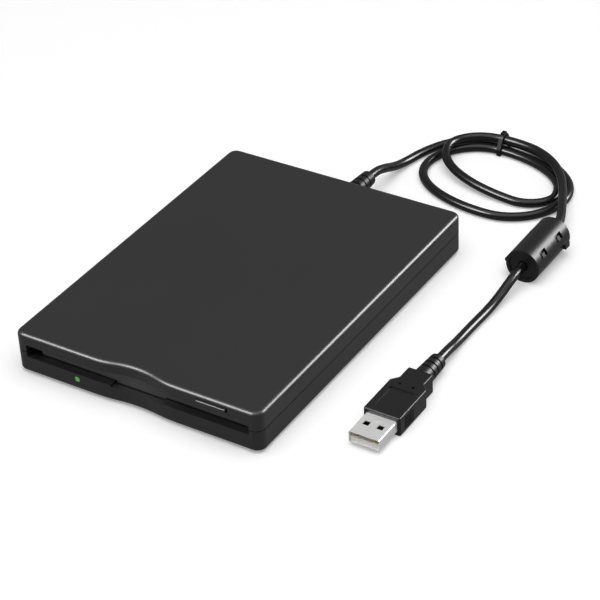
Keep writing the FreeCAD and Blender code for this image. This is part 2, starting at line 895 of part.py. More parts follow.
def stator_coils():
    low = float(board_top) + 0.02
    half = float(size("tooth_width")) / 2 + 0.35
    coils = []
    step = 360 / SIZES["stator_teeth"]
    start = float(size("stator_inner_radius")) + 3.2
    length = float(size("stator_radius")) - 1.4 - start
    for number in range(int(SIZES["stator_teeth"])):
        winding = Part.makeBox(length, 2 * half, 1.26, Vector(start, -half, low))
        tooth = Part.makeBox(length + 2, 2 * half - 0.7, 0.7, Vector(start - 1, -half + 0.35, low + 0.28))
        winding = winding.cut(tooth)
        winding.rotate(Vector(0, 0, 0), Vector(0, 0, 1), number * step)
        winding.translate(Vector(0, float(spindle_y), 0))
        coils.append(winding)
    return shaped("stator_coils", Part.makeCompound(coils))


def spindle_rotor():
    """Cup whose rim holds the ring magnet round the stator."""
    radius = size("rotor_radius")
    top = rod((0, spindle_y, hub_low - 0.6), radius, 0.6)
    rim_low = board_top + 0.4
    rim = cut(rod((0, spindle_y, rim_low), radius, hub_low - rim_low),
              rod((0, spindle_y, rim_low - 1), size("stator_radius") + 0.5, hub_low - rim_low + 1 - 0.3))
    shaft = rod((0, spindle_y, board_top + 0.2), size("spindle_shaft_radius"), hub_low - board_top - 0.4)
    return piece(fuse(top, rim, shaft), "spindle_rotor")


def spindle_hub():
    plate = rod((0, spindle_y, hub_low), size("hub_radius"), size("hub_height"))
    tip = hub_low + size("hub_height")
    pin = rod((0, spindle_y, hub_low), size("hub_pin_radius"), size("hub_height") + size("hub_pin_height"))
    drive = rod((size("hub_radius") - 2.5, spindle_y, tip - 0.2), 1.0, size("hub_pin_height"))
    return piece(fuse(plate, pin, drive), "spindle_hub")


# Head carriage
deck_low = frame_low - 0.3
deck_top = frame_low + 1.7
tower_front = head_y + 22
hinge_y = tower_front + 3.5
hinge_z = holder_top + thin + 0.1
arm_low = hinge_z


def guide_rod():
    start = head_y - 20.1
    length = frame_back - 0.2 - start
    return piece(rod((rod_x, start, rod_z), size("rod_diameter") / 2, length, "+Y"), "guide_rod")


def head_carriage():
    left = rod_x - 2.4
    right = screw_x - 2.2
    deck = block((left, head_y - 2.5, deck_low), (right, tower_front + 5, deck_top))
    tower = block((-6.3, tower_front, deck_top - 0.5), (6.3, tower_front + 5, hinge_z - 1.1))
    arm_half = size("arm_width") / 2
    ears = []
    for side in (-1, 1):
        low_x = (-arm_half - 1.8, arm_half + 0.3)[side > 0]
        ears.append(block((low_x, hinge_y - 1.5, hinge_z - 1.5),
                          (low_x + 1.5, tower_front + 5, hinge_z + 0.8)))
    pin = rod((-arm_half - 1.5, hinge_y, hinge_z), 0.45, size("arm_width") + 3, "+X")
    follower = block((right - 0.5, tower_front - 0.6, deck_low + 0.4),
                     (screw_x - size("screw_diameter") / 2 - 0.2, tower_front + 0.8, screw_z + 0.6))
    beside_motor = block((6.9, motor_front - 1.1, deck_low - 1), (right + 1, tower_front + 6, deck_top + 1))
    bore_radius = size("rod_diameter") / 2 + size("rod_running_gap")
    bore = rod((rod_x, head_y - 4, rod_z), bore_radius, 40, "+Y")
    groove = block((rod_x - 0.9, head_y - 4, rod_z - 3), (rod_x + 0.9, tower_front + 8, rod_z - 0.4))
    light = block((-3, head_y + 5, deck_low - 1), (5, tower_front - 4, deck_top + 1))
    tools = [bore, groove, light, beside_motor]
    return piece(cut(fuse(deck, tower, follower, pin, *ears), *tools), "head_carriage")


def lower_head():
    low = deck_top
    return piece(block((-2, head_y - 2, low), (2, head_y + 2, holder_low - 0.25)), "lower_head")


def upper_arm():
    half = size("arm_width") / 2
    thickness = size("arm_thickness")
    plate = block((-half, head_y - 2.5, arm_low), (half, hinge_y, arm_low + thickness))
    barrel = rod((-half, hinge_y, hinge_z), thickness, size("arm_width"), "+X")
    bore = rod((-half - 1, hinge_y, hinge_z), 0.5, size("arm_width") + 2, "+X")
    window = block((-half + 2, head_y + 5, arm_low - 1), (half - 2, hinge_y - 6, arm_low + 2))
    return piece(cut(fuse(plate, barrel), bore, window), "upper_arm")


def upper_head():
    return piece(block((-2, head_y - 2, arm_low - 0.6), (2, head_y + 2, arm_low)), "upper_head")


def lead_screw():
    """Shaft with a square-cut thread, carried by the motor and a small bearing in the frame."""
    stub = rod((screw_x, screw_start, screw_z), 0.6, 2.6, "+Y")
    body_start = screw_start + 2.1
    length = motor_front - body_start
    core = rod((screw_x, body_start, screw_z), size("screw_diameter") / 2 - 0.25, length, "+Y")
    rings = []
    step = size("screw_pitch") / 3
    for number in range(15):
        rings.append(rod((screw_x, body_start + 0.3 + step * number, screw_z), size("screw_diameter") / 2,
                         0.5, "+Y"))
    return piece(fuse(stub, core, *rings), "lead_screw")


def step_motor():
    start = (screw_x, motor_front + 0.2, screw_z)
    can = rod(start, size("motor_diameter") / 2, size("motor_length"), "+Y")
    terminal = block((screw_x - 2.5, motor_front + 3, screw_z - 2),
                     (screw_x + 2.5, motor_front + 7, screw_z + size("motor_diameter") / 2 + 1))
    return piece(fuse(can, terminal), "step_motor")


def motor_bracket():
    high = screw_z + size("motor_diameter") / 2 + 0.6
    plate = block((screw_x - 6.5, motor_front - 0.6, frame_top), (screw_x + 6.5, motor_front + 0.2, high))
    foot = block((screw_x + 4.9, motor_front - 0.6, frame_top),
                 (screw_x + 9.5, motor_front + 6, frame_top + 0.8))
    hole = rod((screw_x, motor_front - 2, screw_z), size("screw_diameter") / 2 + 0.2, 4, "+Y")
    return piece(cut(fuse(plate, foot), hole), "motor_bracket")


def head_ribbon():
    """Thin flexible strip from the drive board up to the moving carriage."""
    y = tower_front + 5.4
    thick = 0.2
    strip = [
        block((-5, y, board_top), (1, y + thick, deck_top + 3)),
        block((-5, y, board_top), (1, y + 3, board_top + thick)),
    ]
    return piece(fuse(*strip), "head_ribbon")


def switch_housings():
    parts = []
    for x, y in switch_places():
        outer = block((x - 2, y - 1.6, frame_top), (x + 2, y + 1.6, frame_top + 1.1))
        bore = rod((x, y, frame_top - 1), 0.85, 4)
        parts.append(cut(outer, bore))
    return piece(group(*parts), "switch_housings")


def plungers():
    names = ("write_protect_plunger", "density_plunger", "disk_in_plunger")
    return [piece(rod((x, y, frame_top + 0.1), 0.8, 2.1), name)
            for name, (x, y) in zip(names, switch_places())]


# Boards
board_half = half_width - size("board_inset_side")
board_front = -half_depth + size("board_inset_front")
board_back = half_depth - size("board_inset_back")


def drive_board():
    base = block((-board_half, board_front, board_low), (board_half, board_back, board_top))
    tools = [
        block((screw_x - 5.5, motor_front - 0.6, board_low - 1),
              (screw_x + 5.5, board_back + 1, board_top + 1)),
        block((board_half - 18, board_front - 1, board_low - 1),
              (board_half + 1, spindle_y - 12, board_top + 1)),
    ]
    return piece(cut(base, *tools), "drive_board")


def flat_box(x, y, low, width, depth, height):
    """A small part that stands on a board, from its left front corner."""
    return Part.makeBox(width, depth, height, Vector(float(x), float(y), float(low)))


def drive_chips():
    back = board_back
    left = -board_half + 8
    right = board_half - 16
    chips = [
        flat_box(left, back - 20, board_top, 10, 10, 0.7),
        flat_box(right, back - 34, board_top, 7, 7, 0.7),
        flat_box(left, back - 44, board_top, 5, 4, 0.7),
        flat_box(right + 4, back - 48, board_top, 4, 5, 0.7),
    ]
    caps = [flat_box(left + 4 + 3 * number, back - 26, board_top, 1.6, 0.9, 0.6) for number in range(5)]
    caps += [flat_box(right - 2 + 3 * number, back - 24, board_top, 1.6, 0.9, 0.6) for number in range(5)]
    lamp = flat_box(-light_x - 1.5, board_front, board_top, 3, 2, 1.6)
    return shaped("drive_board_chips", Part.makeCompound(chips + caps + [lamp]))


link_top = link_low + size("board_thickness")
link_half = board_half - 2
link_front = frame_back + 1.2


def link_board():
    back = half_depth - wall - 3.2
    return piece(block((-link_half, link_front, link_low), (link_half, back, link_top)), "usb_board")


def link_chip():
    low = (-22, link_front + 1.2, link_top)
    return piece(block(low, (-15, link_front + 8, link_top + 0.9)), "usb_controller_chip")


def crystal_can():
    low = (-10, link_front + 2.3, link_top)
    return piece(block(low, (-5.2, link_front + 6.3, link_top + 1.2)), "crystal_can")


def link_small_parts():
    y = link_front + 1.8
    parts = [flat_box(6 - link_half + 3 * number, y, link_top, 1.6, 0.9, 0.6) for number in range(4)]
    parts += [flat_box(9 + 2.4 * number, y, link_top, 1.6, 0.9, 0.6) for number in range(5)]
    parts.append(flat_box(-1.5, y + 1.5, link_top, 6.5, 3.2, 2.6))
    return shaped("usb_board_parts", Part.makeCompound(parts))


def ribbon_cable():
    """Flat cable that joins the two boards."""
    thick = size("ribbon_thickness")
    left = ribbon_right - size("ribbon_width")
    bend = frame_back - 0.8
    high = link_top + 1
    strip = [
        block((left, frame_back - 7, board_top), (ribbon_right, bend, board_top + thick)),
        block((left, bend, board_top), (ribbon_right, bend + thick, high)),
        block((left, bend, high), (ribbon_right, link_front + 3.3, high + thick)),
    ]
    return piece(fuse(*strip), "ribbon_cable")


def ribbon_sockets():
    left = ribbon_right - size("ribbon_width") - 1
    right = ribbon_right + 1
    parts = [
        block((left, frame_back - 10, board_top), (right, frame_back - 7, board_top + 1)),
        block((left, link_front + 3.3, link_top), (right, link_front + 6.3, link_top + 2)),
    ]
    return piece(group(*parts), "ribbon_sockets")


# Lead
route_x = half_width - size("route_case_width") / 2
route_y = half_depth - size("route_case_depth") / 2
relief_x = size("relief_place") + route_x
relief_end = half_depth + size("relief_length")


def strain_relief():
    """Tapered boot with grooves, and a flange that the two case halves grip."""
    radius = size("relief_diameter") / 2
    end = size("relief_end_diameter") / 2
    body = cone((relief_x, half_depth + 0.2, parting), radius, end, size("relief_length") - 0.2, "+Y")
    neck = rod((relief_x, half_depth - wall - 0.5, parting), end - 0.1, wall + 1.5, "+Y")
    flange = rod((relief_x, half_depth - wall - 1.9, parting), radius - 0.4, 1.6, "+Y")
    tools = []
    for number in range(4):
        y = relief_end - 4.2 - 3.2 * number
        ring = cut(rod((relief_x, y, parting), radius + 1, size("relief_groove"), "+Y"),
                   rod((relief_x, y - 1, parting), end - size("relief_groove_depth") + 0.14 * number,
                       3, "+Y"))
        tools.append(ring)
    return piece(cut(fuse(body, neck, flange), *tools), "strain_relief")


def arc_through(start, way, end):
    """The arc that leaves start along way and reaches end."""
    chord = end - start
    unit = Vector(chord).normalize()
    aside = way - unit * way.dot(unit)
    if aside.Length < 1e-6:
        return Part.makeLine(start, end)
    half_turn = math.acos(max(-1, min(1, way.dot(unit))))
    middle = (start + end) / 2 + aside.normalize() * (chord.Length / 2 * math.tan(half_turn / 2))
    return Part.Arc(start, middle, end).toShape()


def biarc(start, start_way, end, end_way):
    """Two arcs that meet smoothly between two stations."""
    span = end - start
    ways = start_way + end_way
    spread = 2 * (1 - start_way.dot(end_way))
    across = span.dot(ways)
    reach = (-across + math.sqrt(across ** 2 + spread * span.dot(span))) / spread
    join = (start + end + (start_way - end_way) * reach) / 2
    join_way = (join - start) - start_way * reach
    join_way.normalize()
    return [arc_through(start, start_way, join), arc_through(join, join_way, end)]


def tube_path(points):
    """Straight runs joined by arcs as large as their runs allow, and the radii of the arcs."""
    edges = []
    radii = []
    here = points[0]
    for before, corner, after in zip(points, points[1:], points[2:]):
        arriving = corner - before
        leaving = after - corner
        half_turn = arriving.getAngle(leaving) / 2
        setback = 0.45 * min(arriving.Length, leaving.Length)
        radii.append(setback / math.tan(half_turn))
        way = Vector(arriving).normalize()
        first = corner - way * setback
        last = corner + Vector(leaving).normalize() * setback
        edges.append(Part.makeLine(here, first))
        edges.append(arc_through(first, way, last))
        here = last
    edges.append(Part.makeLine(here, points[-1]))
    return edges, radii


def sweep(edges, radius):
    start = edges[0].valueAt(edges[0].FirstParameter)
    way = edges[0].tangentAt(edges[0].FirstParameter)
    section = Part.Wire(Part.Circle(start, way, radius).toShape())
    return Part.Wire(edges).makePipeShell([section], True, False)


def beside_case(points):
    """Points of the lead's route, moved with the case's back right corner."""
    shift = Vector(float(route_x), float(route_y), 0)
    return [Vector(*point) + shift for point in points]


def tube(name, points):
    edges, radii = tube_path(beside_case(points))
    radius = float(cord_radius)
    shape = sweep(edges, radius)
    length = sum(edge.Length for edge in edges)
    print(name, "arc radii", [round(value, 1) for value in radii])
    print(name, "length", round(length, 1), "volume share",
          round(shape.Volume / (math.pi * radius ** 2 * length), 4))
    return shaped(name, shape)


# Stations of the coil, a quarter turn apart from the tie onwards, in the order top, right, near, left
COIL_STATIONS = [
    (32.0, 145.0, 1.8),
    (72.0, 119.0, 1.8),
    (48.5, 95.0, 1.8),
    (9.9, 117.5, 1.8),
    (32.0, 140.8, 1.8),
    (67.3, 119.0, 1.8),
    (53.5, 108.2, 1.8),
    (14.2, 128.0, 5.9),
    (32.0, 142.9, 5.6),
]
COIL_WAYS = [Vector(1, 0, 0), Vector(0, -1, 0), Vector(-1, 0, 0), Vector(0, 1, 0)]
LEAD_POINTS = [
    (1.5, 86.6, 9.35),
    (1.5, 92.2, 9.35),
    (1.7, 99.0, 7.2),
    (1.8, 106.4, 3.9),
    (2.3, 114.6, 1.9),
    (4.6, 124.6, 1.8),
    (9.6, 135.0, 1.8),
    (17.0, 142.2, 1.8),
    (25.2, 145.0, 1.8),
    (32.0, 145.0, 1.8),
]
TAIL_POINTS = [
    (32.0, 142.9, 5.6),
    (39.0, 142.9, 5.6),
    (48.0, 141.2, 5.8),
    (57.5, 136.0, 6.0),
    (65.0, 128.0, 6.0),
    (70.5, 118.5, 6.1),
    (75.0, 108.3, 6.4),
    (79.3, 98.8, 6.7),
    (81.2, 89.6, 6.8),
    (81.3, 80.5, 6.8),
    (81.3, 70.5, 6.8),
    (81.2, 61.5, 6.8),
    (81.0, 54.5, 6.2),
    (80.6, 47.0, 3.9),
    (79.9, 38.5, 1.95),
    (79.3, 26.5, 1.8),
    (79.4, 15.0, 2.1),
    (80.0, 6.2, 3.8),
    (80.0, -0.2, 3.8),
]


def cord_coil():
    """Two loose turns that fan out on the near and left sides and lie together at the tie."""
    stations = beside_case(COIL_STATIONS)
    edges = []
    for number in range(len(stations) - 1):
        way = COIL_WAYS[number % 4]
        next_way = COIL_WAYS[(number + 1) % 4]
        edges += biarc(stations[number], way, stations[number + 1], next_way)
    shape = sweep(edges, float(cord_radius))
    print("cord_coil length", round(sum(edge.Length for edge in edges), 1))
    print("cord_coil least gap to itself", round(self_gap(edges), 2))
    return shaped("cord_coil", shape)


def self_gap(edges):
    """Least gap between stretches of the coil that are not next to each other."""
    points = []
    for edge in edges:
        points += edge.discretize(Distance=1.0)[:-1]
    apart = 12
    least = 1e9
    for first in range(len(points)):
        for second in range(first + apart, len(points)):
            least = min(least, points[first].distanceToPoint(points[second]))
    return least - float(size("cord_diameter"))


TIE_WIDTH = 1.7
TIE_THICKNESS = 0.9
TIE_GAP = 0.3
TIE_HEAD = 2.4


def tie_outline(centres, reach):
    """The flat shape of a band drawn round the strands, at a distance from their middles."""
    x = centres[0].x
    discs = [Part.makeCylinder(reach, TIE_WIDTH, centre, Vector(1, 0, 0)) for centre in centres]
    spans = []
    for start, end in zip(centres, centres[1:] + centres[:1]):
        way = Vector(end - start).normalize()
        side = Vector(0, -way.z, way.y) * reach
        corners = [start + side, end + side, end - side, start - side, start + side]
        spans.append(Part.Face(Part.makePolygon(corners)).extrude(Vector(TIE_WIDTH, 0, 0)))
    inner = Part.Face(Part.makePolygon(centres + centres[:1])).extrude(Vector(TIE_WIDTH, 0, 0))
    return discs[0].multiFuse(discs[1:] + spans + [inner])


def cable_tie():
    """Band drawn round the three strands of the coil, with its locking head on top."""
    stations = beside_case(COIL_STATIONS)
    x = stations[0].x - TIE_WIDTH / 2
    centres = [Vector(x, stations[number].y, stations[number].z) for number in (0, 8, 4)]
    reach = float(cord_radius) + TIE_GAP
    ring = tie_outline(centres, reach + TIE_THICKNESS).cut(tie_outline(centres, reach))
    low = Vector(x - 1, centres[0].y - 30, -10)
    ring = ring.cut(Part.makeBox(TIE_WIDTH + 2, 60, 10, low))
    head_low = Vector(x, centres[1].y - TIE_HEAD / 2, centres[1].z + reach + 0.1)
    head = Part.makeBox(TIE_WIDTH, TIE_HEAD, 1.2, head_low)
    return shaped("cable_tie", ring.fuse(head))


# Snap-on ferrite
ferrite_x = float(size("ferrite_place_side") + route_x)
ferrite_z = TAIL_POINTS[9][2]
ferrite_front = float(size("ferrite_place") + route_y - size("ferrite_length") / 2)
ferrite_long = float(size("ferrite_length"))
ferrite_radius = float(size("ferrite_width")) / 2
ferrite_wall = float(size("ferrite_wall"))
ferrite_hinge_x = ferrite_x - ferrite_radius - 0.4


def along_ferrite(radius, start, length, x=ferrite_x):
    return Part.makeCylinder(radius, length, Vector(x, ferrite_front + start, ferrite_z), Vector(0, 1, 0))


END_RECESS = 0.5


def ferrite_half(upper):
    """Half of the clip-on cover, with end walls and its share of the hinge."""
    side = 20.0
    low = ferrite_z + 0.05 if upper else ferrite_z - side
    keep = Part.makeBox(2 * side, ferrite_long, side - 0.05 * upper,
                        Vector(ferrite_x - side, ferrite_front, low))
    shell = along_ferrite(ferrite_radius, 0, ferrite_long)
    shell = shell.cut(along_ferrite(ferrite_radius - ferrite_wall, ferrite_wall,
                                    ferrite_long - 2 * ferrite_wall))
    shell = shell.cut(along_ferrite(float(cord_radius) + 0.25, -1, ferrite_long + 2)).common(keep)
    for start in (0, ferrite_long - END_RECESS):
        rim = along_ferrite(ferrite_radius - ferrite_wall, start, END_RECESS)
        shell = shell.cut(rim)
    middle = (6.0, ferrite_long - 12.0)
    spans = [middle] if upper else [(1.5, 4.2), (ferrite_long - 5.7, 4.2)]
    others = [(1.2, 4.8), (ferrite_long - 6.0, 4.8)] if upper else [(5.7, ferrite_long - 11.4)]
    for start, length in others:
        shell = shell.cut(along_ferrite(1.2, start, length, ferrite_hinge_x))
    for start, length in spans:
        knuckle = along_ferrite(0.9, start, length, ferrite_hinge_x)
        shell = shell.fuse(knuckle)
    if upper:
        shell = shell.cut(along_ferrite(0.5, 0, ferrite_long, ferrite_hinge_x))
    else:
        shell = shell.fuse(along_ferrite(0.45, 1.5, ferrite_long - 3.0, ferrite_hinge_x))
    return shell


def across_cover(start, angle, inner, outer, width, low, high):
    """A block across the cover's wall, turned up from its right side by an angle."""
    box = Part.makeBox(outer - inner, width, high - low, Vector(inner, start, low))
    box.rotate(Vector(0, 0, 0), Vector(0, 1, 0), -angle)
    box.translate(Vector(ferrite_x, ferrite_front, ferrite_z))
    return box


LATCHES = (4.0, 16.6)
LATCH_ANGLE = 36.0
SLOT_ANGLE = 138.0


def ferrite_cover_upper():
    """Upper half, with two latch windows on its right shoulder and two slots over the hinge."""
    shell = ferrite_half(True)
    inside = ferrite_radius - ferrite_wall
    outside = ferrite_radius + 1
    for start in LATCHES:
        window = across_cover(start, LATCH_ANGLE, inside - 0.6, outside, 4.4, -1.4, 1.3)
        tongue = across_cover(start + 1.4, LATCH_ANGLE, inside, outside - 1.4, 1.8, -2.0, 0.2)
        shell = shell.cut(window.cut(tongue))
        shell = shell.cut(across_cover(start + 1.4, SLOT_ANGLE, inside + 0.4, outside, 2.0, -0.5, 0.5))
    return shaped("ferrite_cover_upper", shell)


def ferrite_cover_lower():
    """Lower half, with the tab that opens the latch at the back of its right side."""
    shell = ferrite_half(False)
    tab_low = Vector(ferrite_x + ferrite_radius - 0.6, ferrite_front + ferrite_long - 5.2, ferrite_z - 2.4)
    return shaped("ferrite_cover_lower", shell.fuse(Part.makeBox(1.5, 3.2, 2.0, tab_low)))


def ferrite_core(upper):
    outer = ferrite_radius - ferrite_wall - float(size("ferrite_core_gap"))
    length = ferrite_long - 2 * ferrite_wall - 1.0
    start = ferrite_wall + 0.5
    ring = along_ferrite(outer, start,
                         length).cut(along_ferrite(float(cord_radius) + 0.5, start - 1, length + 2))
    low = ferrite_z + 0.08 if upper else ferrite_z - 20.08
    keep = Part.makeBox(40, ferrite_long, 20, Vector(ferrite_x - 20, ferrite_front, low))
    return shaped("ferrite_core_upper" if upper else "ferrite_core_lower", ring.common(keep))


# Plug
plug_x = size("plug_side") + route_x
plug_z = size("plug_grip_height") / 2
shell_front = route_y - size("plug_front")
grip_front = shell_front + size("plug_shell_length")
grip_back = grip_front + size("plug_grip_length")
neck_back = grip_back + size("plug_neck_length")
boot_back = neck_back + size("plug_boot_length")


WINDOW_START = 5.4


def runs_along_y(edge):
    return edge.BoundBox.XLength < 0.01 and edge.BoundBox.ZLength < 0.01


def plug_grip():
    """Overmoulded grip: a flat body, a shoulder and a narrower neck, with a bare sunk panel on top."""
    body = doc.addObject("PartDesign::Body", "grip_body")
    half = size("plug_grip_width") / 2
    neck = size("plug_neck_width") / 2
    shoulder = size("plug_shoulder")
    corners = [
        (plug_x - half, grip_front),
        (plug_x + half, grip_front),
        (plug_x + half, grip_back - shoulder),
        (plug_x + neck, grip_back),
        (plug_x + neck, neck_back),
        (plug_x - neck, neck_back),
        (plug_x - neck, grip_back),
        (plug_x - half, grip_back - shoulder),
    ]
    add_pad(body, add_sketch(body, corners), size("plug_grip_height"))
    bends = [corners[number] for number in (2, 3, 6, 7)]
    add_fillet(body, 1.2, lambda edge: is_upright(edge, bends))
    ends = [corners[number] for number in (0, 1, 4, 5)]
    add_fillet(body, 0.7, lambda edge: is_upright(edge, ends))
    top = size("plug_grip_height")
    add_fillet(body, size("plug_edge") * 0.7, lambda edge: lies_at(edge, top))
    add_fillet(body, size("plug_edge") * 0.7, lambda edge: lies_at(edge, 0))
    panel = block((plug_x - half + 2.6, grip_front + 3.4, top - 0.5),
                  (plug_x + half - 2.6, grip_back - 6.2, top + 1))
    tools = [panel]
    for side in (-1, 1):
        dot = (plug_x + side * 2.6, grip_back - 3.6, top - 0.6)
        tools.append(rod(dot, 0.65, 2))
        for number in range(7):
            x = plug_x + side * half
            low_y = grip_front + 3.4 + 0.9 * number
            tools.append(block((x - 0.5, low_y, 1.1), (x + 0.5, low_y + 0.5, top - 1.3)))
    return piece(cut(body, *tools), "plug_grip")


def plug_boot():
    radius = size("plug_boot_diameter") / 2
    end = size("plug_boot_end") / 2
    body = cone((plug_x, neck_back, plug_z), radius, end, size("plug_boot_length"), "+Y")
    tools = []
    for number in range(3):
        y = neck_back + 3.4 + 2.9 * number
        tools.append(cut(rod((plug_x, y, plug_z), radius + 1, size("relief_groove"), "+Y"),
                         rod((plug_x, y - 1, plug_z),
                             end - size("relief_groove_depth") - 0.1 * (number - 2), 3, "+Y")))
    return piece(cut(body, *tools), "plug_boot")


def plug_shell():
    """Folded metal shell with rounded corners, two windows through top and bottom and a dimple."""
    half = size("plug_shell_width") / 2
    tall = size("plug_shell_height") / 2
    skin = size("plug_shell_sheet")
    body = doc.addObject("PartDesign::Body", "shell_body")
    corners = [
        (plug_x - half, plug_z - tall),
        (plug_x + half, plug_z - tall),
        (plug_x + half, plug_z + tall),
        (plug_x - half, plug_z + tall),
    ]
    sketch = add_sketch(body, corners, "XZ_Plane", -shell_front)
    add_pad(body, sketch, size("plug_shell_length"), reverse=True)
    add_fillet(body, size("plug_shell_corner"), runs_along_y)
    inner = block((plug_x - half + skin, shell_front - 1, plug_z - tall + skin),
                  (plug_x + half - skin, grip_front + 1, plug_z + tall - skin))
    tools = [inner]
    for side in (-1, 1):
        x = plug_x + side * 2.7
        low = (x - 1.15, shell_front + WINDOW_START, plug_z - tall - 1)
        tools.append(block(low, (x + 1.15, shell_front + WINDOW_START + 2.2, plug_z + tall + 1)))
    dimple = rod((plug_x, shell_front + 9.2, plug_z + tall - 0.15), 0.6, 0.25)
    return piece(fuse(cut(body, *tools), dimple), "plug_shell")


def plug_tongue():
    """Bar that carries the contacts, with a thin floor under the windows back to the grip."""
    half = size("plug_shell_width") / 2 - size("plug_shell_sheet") - 0.05
    low = plug_z - size("plug_shell_height") / 2 + size("plug_shell_sheet") + 0.02
    window_front = shell_front + WINDOW_START
    bar = block((plug_x - half, shell_front + 0.6, low), (plug_x + half, window_front, low + 1.9))
    back = block((plug_x - half, grip_front - 2.5, low), (plug_x + half, grip_front, low + 3.8))
    floor = block((plug_x - half, window_front - 0.5, low), (plug_x + half, grip_front - 2, low + 0.4))
    return piece(fuse(bar, floor, back), "plug_tongue")


def plug_contacts():
    low = plug_z - size("plug_shell_height") / 2 + size("plug_shell_sheet") + 1.92
    strips = []
    for number, reach in enumerate((0.9, 1.9, 1.9, 0.9)):
        x = plug_x + (-3.5, -1.0, 1.0, 3.5)[number]
        strips.append(block((x - 0.5, shell_front + reach, low),
                            (x + 0.5, shell_front + WINDOW_START, low + 0.2)))
    return piece(group(*strips), "plug_contacts")


def build():
    top_shell()
    bottom_shell()
    rubber_feet()
    case_screws()
    status_light()
    dust_flap()
    flap_spring()
    eject_button()
    chassis_frame()
    chassis_screws()
    disk_holder()
    shutter_lever()
    slide_plate()
    slide_springs()
    spindle_bush()
    stator_core()
    stator_coils()
    spindle_rotor()
    spindle_hub()
    guide_rod()
    head_carriage()
    lower_head()
    upper_arm()
    upper_head()
    lead_screw()
    step_motor()
    motor_bracket()
    head_ribbon()
    switch_housings()
    plungers()
    drive_board()
    drive_chips()
    link_board()
    link_chip()
    crystal_can()
    link_small_parts()
    ribbon_cable()
    ribbon_sockets()
    strain_relief()
    tube("cord_lead", LEAD_POINTS)
    cord_coil()
    tube("cord_tail", TAIL_POINTS)
    cable_tie()
    ferrite_cover_lower()
    ferrite_cover_upper()
    ferrite_core(False)
    ferrite_core(True)
    plug_grip()
    plug_boot()
    plug_shell()
    plug_tongue()
    plug_contacts()


def check_document():
    doc.recompute()
    for item in doc.Objects:
        faults = [state for state in item.State if state in ("Invalid", "Error")]
        if faults:
            raise RuntimeError(f"{item.Name} {item.Label} is {faults}")
    for item in PIECES:
        if item.Shape.isNull() or not item.Shape.isValid():
            raise RuntimeError(f"{item.Label} has no valid shape")


build()
check_document()
os.makedirs("parts", exist_ok=True)
for item in PIECES:
    item.Shape.exportStep(f"parts/{item.Label}.step")
print(len(PIECES), "sub-parts")
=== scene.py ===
import math

import bmesh
import bpy
from bpy.props import FloatProperty, FloatVectorProperty, IntProperty, PointerProperty
from mathutils import Matrix, Vector


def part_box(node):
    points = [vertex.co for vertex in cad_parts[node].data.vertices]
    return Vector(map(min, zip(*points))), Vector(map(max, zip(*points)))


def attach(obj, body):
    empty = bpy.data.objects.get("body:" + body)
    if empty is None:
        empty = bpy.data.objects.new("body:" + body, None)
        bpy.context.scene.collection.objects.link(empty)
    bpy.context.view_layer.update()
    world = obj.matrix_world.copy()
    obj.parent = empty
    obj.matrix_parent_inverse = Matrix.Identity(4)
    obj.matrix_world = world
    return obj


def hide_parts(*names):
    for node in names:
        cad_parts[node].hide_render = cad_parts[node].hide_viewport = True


bl_info = {
    "name": "Floppy drive looks",
    "version": (1, 0, 0),
    "blender": (4, 5, 0),
    "location": "View3D > Sidebar > Drive",
    "description": "Dresses an external floppy disk drive and its looped lead",
    "category": "Object",
}

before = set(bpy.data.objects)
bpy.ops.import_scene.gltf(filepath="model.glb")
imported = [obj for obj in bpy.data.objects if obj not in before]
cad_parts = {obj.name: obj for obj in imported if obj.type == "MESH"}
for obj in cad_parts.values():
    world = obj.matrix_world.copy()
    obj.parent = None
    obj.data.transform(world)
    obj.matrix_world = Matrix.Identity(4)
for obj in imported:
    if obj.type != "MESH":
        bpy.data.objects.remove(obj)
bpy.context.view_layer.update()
MM = 0.001


def front_of(node):
    """Foremost place of a solid of the frame."""
    return Vector(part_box(node)[0]).y


# Heights of the bumps in the node effects, in metres
GRAIN_HEIGHT = 0.0001
LINE_HEIGHT = 0.00005
TRACK_HEIGHT = 0.00006

# Middle of the lit status light, and the strength of its glow
LENS_MIDDLE = (0.2, 0.55, 0.12, 1)
LENS_GLOW = 0.35

# How far the pale front of the plug's tongue reaches back into the shell; behind it the tongue is painted
# near-black, a painted shade seen through the shell's windows
TONGUE_FRONT = 5.2 * MM

# White added to the floor where it is seen, and how much of its colour a glossy ray loses
FLOOR_GLOW = 0.26
FLOOR_DIMMING = 0.93
LAMP_AIM = (0.02, 0.02, 0)
# Name, width, place and whether the lamp lights the glossy edges alone
LAMPS = [
    ("top_lamp", 1.3, (0.15, -0.1, 1.1), False),
    ("side_lamp", 0.46, (0.63, 0.76, 0.5), True),
    ("front_lamp", 0.46, (-0.5, -0.63, 0.76), True),
]

# Route of the lead from the strain relief to the plug, in millimetres
LEAD_POINTS = [
    (1.5, 86.6, 9.35),
    (1.5, 92.2, 9.35),
    (1.7, 99.0, 7.2),
    (1.8, 106.4, 3.9),
    (2.3, 114.6, 1.9),
    (4.6, 124.6, 1.8),
    (9.6, 135.0, 1.8),
    (17.0, 142.2, 1.8),
    (25.2, 145.0, 1.8),
]
